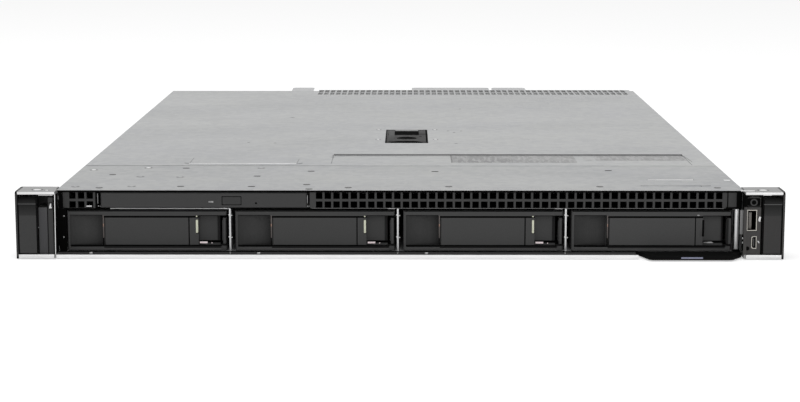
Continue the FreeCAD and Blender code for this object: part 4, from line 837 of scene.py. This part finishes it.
def socket_liners():
    """Dark inner walls and rims of the two sockets on the right ear, and the power button's ring."""
    x0, x1, front, back, z0, z1 = sides("front_usb_socket")
    wall, skin = 0.62, 0.1
    a0, a1, c0, c1 = x0 + wall, x1 - wall, z0 + wall, z1 - wall
    mouth, end = front + 0.5, back - 1.0
    boxes("usb_liner", *EAR_BLACK_AND_SHADE,
          (a0, a0 + skin, mouth, end, c0, c1), (a1 - skin, a1, mouth, end, c0, c1),
          (a0, a1, mouth, end, c0, c0 + skin), (a0, a1, mouth, end, c1 - skin, c1),
          (a0, a1, back - 1.1, end, c0, c1))
    middle = (x0 + x1) / 2
    boxes("usb_tongue_cap", "chassis", "ear_plastic", TONGUE_PLASTIC,
          (middle - 2.06, middle - 0.14, front + 1.7, front + 1.98, z0 + 1.5, z1 - 1.5, 0.1))
    ring("usb_inner_lip", *EAR_BLACK_AND_SHADE,
         x0 + 0.3, x1 - 0.7, z0 + 0.9, z1 - 0.2, 0.5, front - 0.08, front + 0.3)
    ring("usb_rim", "chassis", "ear_metal", GOLD_RIM,
         x0 - 0.1, x1 - 0.35, z0 + 0.5, z1 + 0.3, 0.44, front - 0.14, front - 0.04)
    surrounds = Form()
    for socket in ("front_usb_socket", "front_micro_socket"):
        x0, x1, front, _, z0, z1 = sides(socket)
        frame_of(surrounds, x0 - 0.6, x1 + 0.6, z0 - 0.6, z1 + 0.6, 0.7, front - 0.03, front + 0.3)
    surrounds.box(216.9, 219.9, PANEL_FRONT, -9.6, 4.4, 7.8, 0.02)
    surrounds.made("socket_surrounds", "chassis", "ear_plastic", WARM_PLASTIC)
    # A dark back in the micro socket and a black disc of painted shade in the reset hole.
    core = Form()
    middle = (x0 + x1) / 2
    core.box(x0 + 0.4, x1 - 0.36, front + 0.3, front + 0.45, z0 + 0.4, z1 - 0.4)
    core.turned((218.3, -9.7, 6.75), [(0, 0), (1.3, 0), (1.25, -0.04), (0, -0.04)], "y", 24)
    core.made("micro_liner", *EAR_BLACK_AND_SHADE)
    boxes("micro_leaf", "chassis", "ear_plastic", PALE_PLASTIC_AND_HIGHLIGHT,
          (middle - 0.35, middle + 0.15, front + 0.1, front + 0.3, z0 + 1.6, z1 - 1.6, 0.05))
    x0, x1, front, _, z0, z1 = sides("power_button")
    x, z, radius = (x0 + x1) / 2, (z0 + z1) / 2, (x1 - x0) / 2
    collar = Form()
    profile = [(0, 0.25), (radius - 0.3, 0.25), (radius - 0.35, 0.0), (radius - 0.75, 0.0),
               (radius - 0.8, 0.2), (0, 0.2)]
    collar.turned((x, front - 0.05, z), profile, "y", 32)
    collar.made("power_ring", "power_button", "button_plastic", BLANK_FOUR)
    form = Form()
    form.turned((x, front - 0.02, z), [(0, 0.2), (1.5, 0.2), (1.45, 0.0), (0, -0.02)], "y", 24)
    form.made("power_cap", "power_button", "button_plastic", BLACK_AND_SHADE)
    housing = Form()
    housing.swept(round_corners(217.75, 225.65, 33.8, 38.85, 0.8), -10.07, -9.99, "front", 0.02)
    housing.box(217.7, 226.7, PANEL_FRONT, -9.58, 32.9, 39.1)
    housing.made("button_housing", *EAR_BLACK_AND_SHADE)
    boxes("button_trim", "chassis", "ear_plastic", PALE_PLASTIC_AND_HIGHLIGHT,
          (219.0, 224.9, -9.72, -9.62, 39.3, 39.6, 0.02),
          (218.9, 225.6, -9.74, -9.62, 32.5, 32.8, 0.02))
    marks = Form()
    for outline in (((224.9, 24.0), (226.0, 23.7), (226.1, 25.2), (226.4, 26.6), (225.4, 27.2),
                     (224.9, 26.0), (224.6, 25.0)),
                    ((224.4, 11.9), (225.2, 11.5), (225.9, 10.4), (225.4, 10.0), (224.8, 10.9),
                     (224.3, 11.2))):
        marks.swept(outline, -9.72, -9.6, "front", 0.03)
    marks.made("socket_marks", "chassis", "lamp_plastic", LAMP_PLASTIC)


def tag_strip():
    """The pale film on the tag's front edge."""
    _, _, front, _, _, top = sides("information_tag")
    boxes("tag_strip", "information_tag", "tag_plastic", BLUE_FILM,
          (175.9, 189.6, front + 0.02, front + 0.19, top - 1.75, top - 0.62, 0.03))


# Top

HIGHLIGHT_DOMES = ((-207.5, 88.0), (-171.9, 98.0))
FRONT_DOMES = ((-171.8, 57.6), (-145.3, 56.0), (-207.4, 14.8), (-171.6, 16.0), (-94.9, 97.4))
COVER_PRICKS = ((-92.3, 391.9), (-90.6, 391.0), (-114.8, 231.8), (-94.7, 228.4), (40.9, 291.3), (46.6, 301.4),
                (40.9, 226.8), (36.4, 301.4), (49.8, 454.7), (-213.5, 111.5), (-193.2, 111.5))
FRONT_DIMPLES = ((-191.6, 67.0), (-191.4, 10.0), (-140.3, 16.0), (-60.1, 24.0), (-57.7, 5.5), (-33.0, 11.3),
                 (31.1, 15.6), (127.6, 16.0), (202.0, 11.6))
FRONT_SLOTS = ((-146.0, 97.0), (-95.0, 15.8), (-94.8, 60.4), (-60.2, 83.0), (23.2, 82.0), (140.3, 86.8))
COVER_DIMPLES = ((-18.2, 309.7), (26.1, 309.8), (-17.8, 249.0), (25.9, 249.5))


def top_fixings(name, body, places, radius, ring_finish, finish):
    """Pressed heads, each in a darker ring of painted shade; the heads' finish is painted highlight on some
    and painted shade on others.
    """
    rings = Form()
    heads = Form()
    for x, depth in places:
        rings.turned((x, depth, SHEET_TOP), [(0, 0), (radius, 0), (radius * 0.95, 0.05), (0, 0.05)], "z", 22)
        core = radius * 0.52
        profile = [(0, 0), (core, 0), (core * 0.96, 0.16), (core * 0.7, 0.3), (0, 0.34)]
        heads.turned((x, depth - radius * 0.1, SHEET_TOP + 0.04), profile, "z", 20)
    rings.made(f"{name}_rings", body, "cover_steel", ring_finish)
    heads.made(name, body, "cover_steel", finish)


def ridges(name, body, finish, *rows):
    """Small pressed ridges on the top, each between two points with a width and a height."""
    form = Form()
    for (x0, d0), (x1, d1), width, height in rows:
        along = Vector((x1 - x0, d1 - d0)).normalized() * width / 2
        side = Vector((-along.y, along.x))
        outline = [(x0 - side.x, d0 - side.y), (x1 - side.x, d1 - side.y), (x1 + side.x, d1 + side.y),
                   (x0 + side.x, d0 + side.y)]
        form.swept(outline, SHEET_TOP, SHEET_TOP + height, "plan", 0.06)
    form.made(name, body, "cover_steel", finish)


def top_details():
    """Fixings, slots, notches, ribs, rear vents and label films of the cover and the front plate, with
    painted highlight on domes and ribs and painted shade in rings, pits, slots, beside ribs and at the
    label's edge.
    """
    # Rings of painted shade round all fixings; heads of painted highlight on the bright domes and cover
    # dimples, and of painted shade in the plate dimples.
    top_fixings("highlight_domes", "chassis", HIGHLIGHT_DOMES, 3.0, DARK_STEEL_AND_SHADE, HIGHLIGHT_STEEL)
    top_fixings("plate_domes", "chassis", FRONT_DOMES, 2.8, DARK_STEEL_AND_SHADE, STEEL)
    top_fixings("plate_dimples", "chassis", FRONT_DIMPLES, 2.4, PIT_SHADE_STEEL, DARK_STEEL_AND_SHADE)
    top_fixings("cover_dimples", "top_cover", COVER_DIMPLES, 2.2, DARK_STEEL_AND_SHADE, HIGHLIGHT_STEEL)
    # Small dark pricks of painted shade.
    pricks = Form()
    for x, depth in COVER_PRICKS:
        pricks.turned((x, depth, SHEET_TOP), [(0, 0), (0.85, 0), (0.8, 0.04), (0, 0.04)], "z", 12, 1.3)
    pricks.made("cover_pricks", "top_cover", "cover_steel", PIT_SHADE_STEEL)
    # Flat black slots of painted shade on the front plate.
    slots = Form()
    for x, depth in FRONT_SLOTS:
        outline = round_corners(x - 2.4, x + 2.4, depth - 1.3, depth + 1.3, 1.2)
        slots.swept(outline, SHEET_TOP, SHEET_TOP + 0.04, "plan")
    slots.made("plate_slot_shades", "chassis", "cover_steel", BLACK_AND_SHADE)

    left, right, front, back, _, _ = sides("top_cover")
    boxes("cover_front_lip", "top_cover", "cover_steel", STEEL,
          (left + 0.4, right - 0.4, front + 0.05, front + 2.4, SHEET_TOP, SHEET_TOP + 0.2, 0.08),
          (-40.0, right - 0.4, front - 0.9, front + 0.4, SHEET_TOP + 0.02, SHEET_TOP + 0.14, 0.03))
    boxes("notch_covers", "chassis", "cover_steel", PLATE_STEEL,
          *((*mirrored(side, 214.4, 216.9), 38.6, 44.4, SHEET_TOP - 0.2, SHEET_TOP + 0.02)
            for side in (-1, 1)))
    boxes("right_notch_tab", "chassis", "cover_steel", HIGHLIGHT_STEEL,
          (211.0, 215.0, 40.6, 44.2, SHEET_TOP + 0.02, SHEET_TOP + 0.3, 0.1))

    # Each rib: a bright ridge of painted highlight on its front, with thin lines of painted shade at its ends
    # and rear.
    ridges("cover_rib_light", "top_cover", HIGHLIGHT_STEEL, ((-146.4, 117.2), (-72.2, 117.2), 0.9, 0.5))
    ridges("cover_rib_shade", "top_cover", DARK_STEEL_AND_SHADE,
           ((-146.4, 118.0), (-146.3, 147.0), 0.4, 0.15),
           ((-72.2, 118.0), (-71.5, 142.0), 0.4, 0.15),
           ((-48.0, 164.0), (201.0, 164.0), 0.9, 0.5),
           ((-48.1, 163.6), (-48.1, 120.0), 0.4, 0.12),
           ((200.8, 163.6), (203.0, 130.0), 0.4, 0.12))
    ridges("plate_rib_light", "chassis", HIGHLIGHT_STEEL, ((161.3, 42.2), (191.2, 42.2), 0.9, 0.7))
    ridges("plate_rib_shade", "chassis", DARK_STEEL_AND_SHADE,
           ((161.3, 43.4), (191.6, 43.4), 0.4, 0.74),
           ((191.6, 43.0), (192.7, 16.5), 0.35, 0.22))

    vent_right = VENT_LEFT + (VENT_COLUMNS - 1) * VENT_PITCH
    slot_front, slot_rear, bar_middle = back - 42.2, back - 3.6, back - 25.0
    mesh = [(VENT_LEFT - 4.0, vent_right + 4.0, slot_front - 4.0, back - 0.6, 40.75, 40.95)]
    bars = []
    for column in range(VENT_COLUMNS):
        x = VENT_LEFT + column * VENT_PITCH
        x0, x1 = x - HOLE_HALF, x + HOLE_HALF
        mesh.append((x0, x1, slot_rear - 0.2, slot_rear - 0.02, 41.0, SHEET_TOP - 0.05))
        bars.append((x0, x1, bar_middle - 1.6, bar_middle + 1.6, 41.5, SHEET_TOP - 0.04))
    boxes("vent_mesh", "top_cover", "cover_steel", INNER_STEEL, *mesh)
    boxes("vent_bars", "top_cover", "cover_steel", STEEL, *bars)

    # A dark line of painted shade at the label recess's left edge.
    boxes("label_edge_shade", "top_cover", "cover_steel", DARK_STEEL_AND_SHADE,
          (35.2, 36.1, 127.4, 162.4, SHEET_TOP - 0.36, SHEET_TOP - 0.2))
    films = ((36.1, 78.6, 127.4, 161.6, FILM_DARK), (78.8, 122.9, 127.4, 161.6, FILM_LIGHT),
             (129.3, 134.7, 138.0, 159.0, FILM_PALE), (137.0, 200.4, 138.4, 161.0, FILM_LIGHT))
    for index, (x0, x1, d0, d1, finish) in enumerate(films, 1):
        form = Form()
        form.swept(round_corners(x0, x1, d0, d1, 1.0), SHEET_TOP - 0.36, SHEET_TOP - 0.26, "plan", 0.02)
        form.made(f"cover_film_{index}", "top_cover", "cover_steel", finish)


def latch_details():
    """The window, the pale shelf behind it, the black lock and the finger hollow of the cover latch; the
    window, the hollow and the lock's cap are flat black of painted shade.
    """
    _, _, lever_front, lever_back, _, lever_top = sides("cover_latch")
    lock_left, lock_right, lock_front, lock_back, _, _ = sides("latch_lock")
    middle = (lock_left + lock_right) / 2
    lock_middle = (lock_front + lock_back) / 2
    window_front, window_back = lock_back + 11.0, lock_back + 35.5
    # Flat black of painted shade in the latch's window and in the crescent of its finger hollow.
    black = Form()
    black.box(middle - 9.4, middle + 9.4, window_front, window_back, lever_top - 0.5, lever_top + 0.05)
    steps = 20
    crescent = []
    for step in range(steps + 1):
        share = 2 * step / steps - 1
        crescent.append((middle + 13.0 * share, lever_front - 1.4 + 13.4 * (1 - abs(share) ** 4.0)))
    black.swept(crescent, lever_top - 0.1, lever_top + 0.08, "plan")
    black.made("latch_hollows", "cover_latch", "latch_plastic", HOLLOW_SHADE)
    boxes("latch_shelf", "cover_latch", "latch_plastic", SHELF_FILM,
          (middle - 9.0, middle + 9.0, window_back + 0.2, lever_back - 4.2, lever_top - 0.1,
           lever_top + 0.17, 0.04))
    skin = Form()
    for side in (-1, 1):
        x0, x1 = sorted((middle + side * 9.2, middle + side * 14.6))
        skin.box(x0, x1, window_front, lever_back - 4.4, lever_top - 0.1, lever_top + 0.05, 0.02)
    skin.box(middle - 15.5, middle - 14.4, lever_front + 1.5, lever_back - 4.4, lever_top - 0.2,
             lever_top + 0.03, 0.02)
    skin.box(middle - 9.4, middle + 9.4, window_front - 5.0, window_front, lever_top - 0.4,
             lever_top + 0.04, 0.02)
    skin.made("latch_skin", "cover_latch", "latch_plastic", LATCH_PLASTIC)
    rim = Form()
    rim.box(middle - 13.6, middle - 9.4, lever_front + 9.0, lever_back - 6.0, lever_top + 0.04,
            lever_top + 0.09, 0.02)
    for start, end, deep in ((25, 155, 7.6), (205, 335, 8.4)):
        arc = []
        inner = []
        for step in range(15):
            turn = math.radians(start + (end - start) * step / 14)
            arc.append((middle + 10.2 * math.cos(turn), lock_middle + 2.0 + deep * 1.25 * math.sin(turn)))
            inner.append((middle + 9.4 * math.cos(turn), lock_middle + 2.0 + deep * math.sin(turn)))
        rim.swept(arc + inner[::-1], lever_top - 0.05, lever_top + 0.1, "plan")
    rim.made("latch_rims", "cover_latch", "latch_plastic", LATCH_EDGE)
    # A cap of painted shade over the lock.
    cap = Form()
    radius = (lock_right - lock_left) / 2 - 0.05
    for side in (-1, 1):
        outline = []
        for step in range(19):
            turn = math.radians(side * (8 + 164 * step / 18))
            outline.append((middle + radius * math.cos(turn), lock_middle + radius * math.sin(turn)))
        cap.swept(outline[::side], lever_top - 0.6, lever_top - 0.02, "plan")
    cap.made("lock_cap", "latch_lock", "latch_plastic", HOLLOW_SHADE)
    boxes("lever_marks", "cover_latch", "latch_plastic", BLACK_AND_SHADE,
          *((x - 0.9, x + 0.9, lock_middle + 8.4, lock_middle + 10.4, lever_top, lever_top + 0.08)
            for x in (middle - 10.6, middle + 10.6)))


# Stage: a white floor and surround, soft lamps and the camera, in metres and radians

FLOOR_SIZE = 6.0
FLOOR_GAP = 0.0004
LENS = 85.78
EYE = (0.0059, FACE_Y - 1.1879, 0.2285)
TILT_DOWN = 0.1613
TURN = 0.0049


def white_for_lens(tree, strength):
    """A share that is one for camera, glossy and transmission rays, times a strength."""
    path = tree.nodes.new("ShaderNodeLightPath")
    largest = path.outputs["Is Camera Ray"]
    for name in ("Is Glossy Ray", "Is Transmission Ray"):
        node = tree.nodes.new("ShaderNodeMath")
        node.operation = "MAXIMUM"
        tree.links.new(largest, node.inputs[0])
        tree.links.new(path.outputs[name], node.inputs[1])
        largest = node.outputs[0]
    scaled = tree.nodes.new("ShaderNodeMath")
    scaled.operation = "MULTIPLY"
    scaled.inputs[1].default_value = strength
    tree.links.new(largest, scaled.inputs[0])
    return scaled.outputs[0]


def surround():
    """White all round for the camera, and a softer white that lights the part."""
    world = bpy.data.worlds.new("studio")
    scene.world = world
    world.use_nodes = True
    tree = world.node_tree
    lit = tree.nodes["Background"]
    fill(lit, Color=WHITE, Strength=0.55)
    seen = tree.nodes.new("ShaderNodeBackground")
    fill(seen, Color=WHITE, Strength=1.0)
    mix = tree.nodes.new("ShaderNodeMixShader")
    tree.links.new(white_for_lens(tree, 1.0), mix.inputs["Fac"])
    tree.links.new(lit.outputs[0], mix.inputs[1])
    tree.links.new(seen.outputs[0], mix.inputs[2])
    tree.links.new(mix.outputs[0], tree.nodes["World Output"].inputs["Surface"])


def floor():
    """A matt white floor just under the part, which takes its shadow."""
    bm = bmesh.new()
    bmesh.ops.create_grid(bm, x_segments=2, y_segments=2, size=FLOOR_SIZE / 2)
    mesh = bpy.data.meshes.new("floor")
    bm.to_mesh(mesh)
    bm.free()
    plane = bpy.data.objects.new("floor", mesh)
    plane.location.z = -FLOOR_GAP
    scene.collection.objects.link(plane)
    material = bpy.data.materials.new("floor")
    material.use_nodes = True
    tree = material.node_tree
    matt = tree.nodes["Principled BSDF"]
    fill(matt, Base_Color=grey(0.82), Roughness=0.9, Specular_IOR_Level=0.0)
    glow = tree.nodes.new("ShaderNodeEmission")
    fill(glow, Color=WHITE)
    tree.links.new(white_for_lens(tree, 0.45), glow.inputs["Strength"])
    both = tree.nodes.new("ShaderNodeAddShader")
    tree.links.new(matt.outputs[0], both.inputs[0])
    tree.links.new(glow.outputs[0], both.inputs[1])
    tree.links.new(both.outputs[0], tree.nodes["Material Output"].inputs["Surface"])
    mesh.materials.append(material)


def lamp(name, place, target, size, power):
    """A square soft box that faces a target."""
    data = bpy.data.lights.new(name, "AREA")
    data.size = size
    data.energy = power
    obj = bpy.data.objects.new(name, data)
    obj.location = place
    obj.rotation_euler = (Vector(target) - Vector(place)).to_track_quat("-Z", "Y").to_euler()
    scene.collection.objects.link(obj)


def camera():
    """The camera, fitted to the view in the photo."""
    data = bpy.data.cameras.new("camera")
    data.lens = LENS
    data.sensor_width = 36.0
    obj = bpy.data.objects.new("camera", data)
    obj.location = EYE
    obj.rotation_euler = (math.pi / 2 - TILT_DOWN, 0.0, TURN)
    scene.collection.objects.link(obj)
    scene.camera = obj


finish_cad_nodes()
front_sill()
front_hem()
side_columns()
divider_details()
optical_details()
for bay in BAYS:
    blank_details(bay)
ear_details()
status_lens()
socket_liners()
tag_strip()
top_details()
latch_details()
surround()
floor()
lamp("overhead", (-0.6, -0.4, 1.9), (0.0, 0.0, 0.0), 2.2, 12.0)
lamp("front", (0.5, -2.2, 0.9), (0.0, -0.3, 0.02), 1.4, 13.0)
camera()

scene.view_settings.view_transform = "Standard"
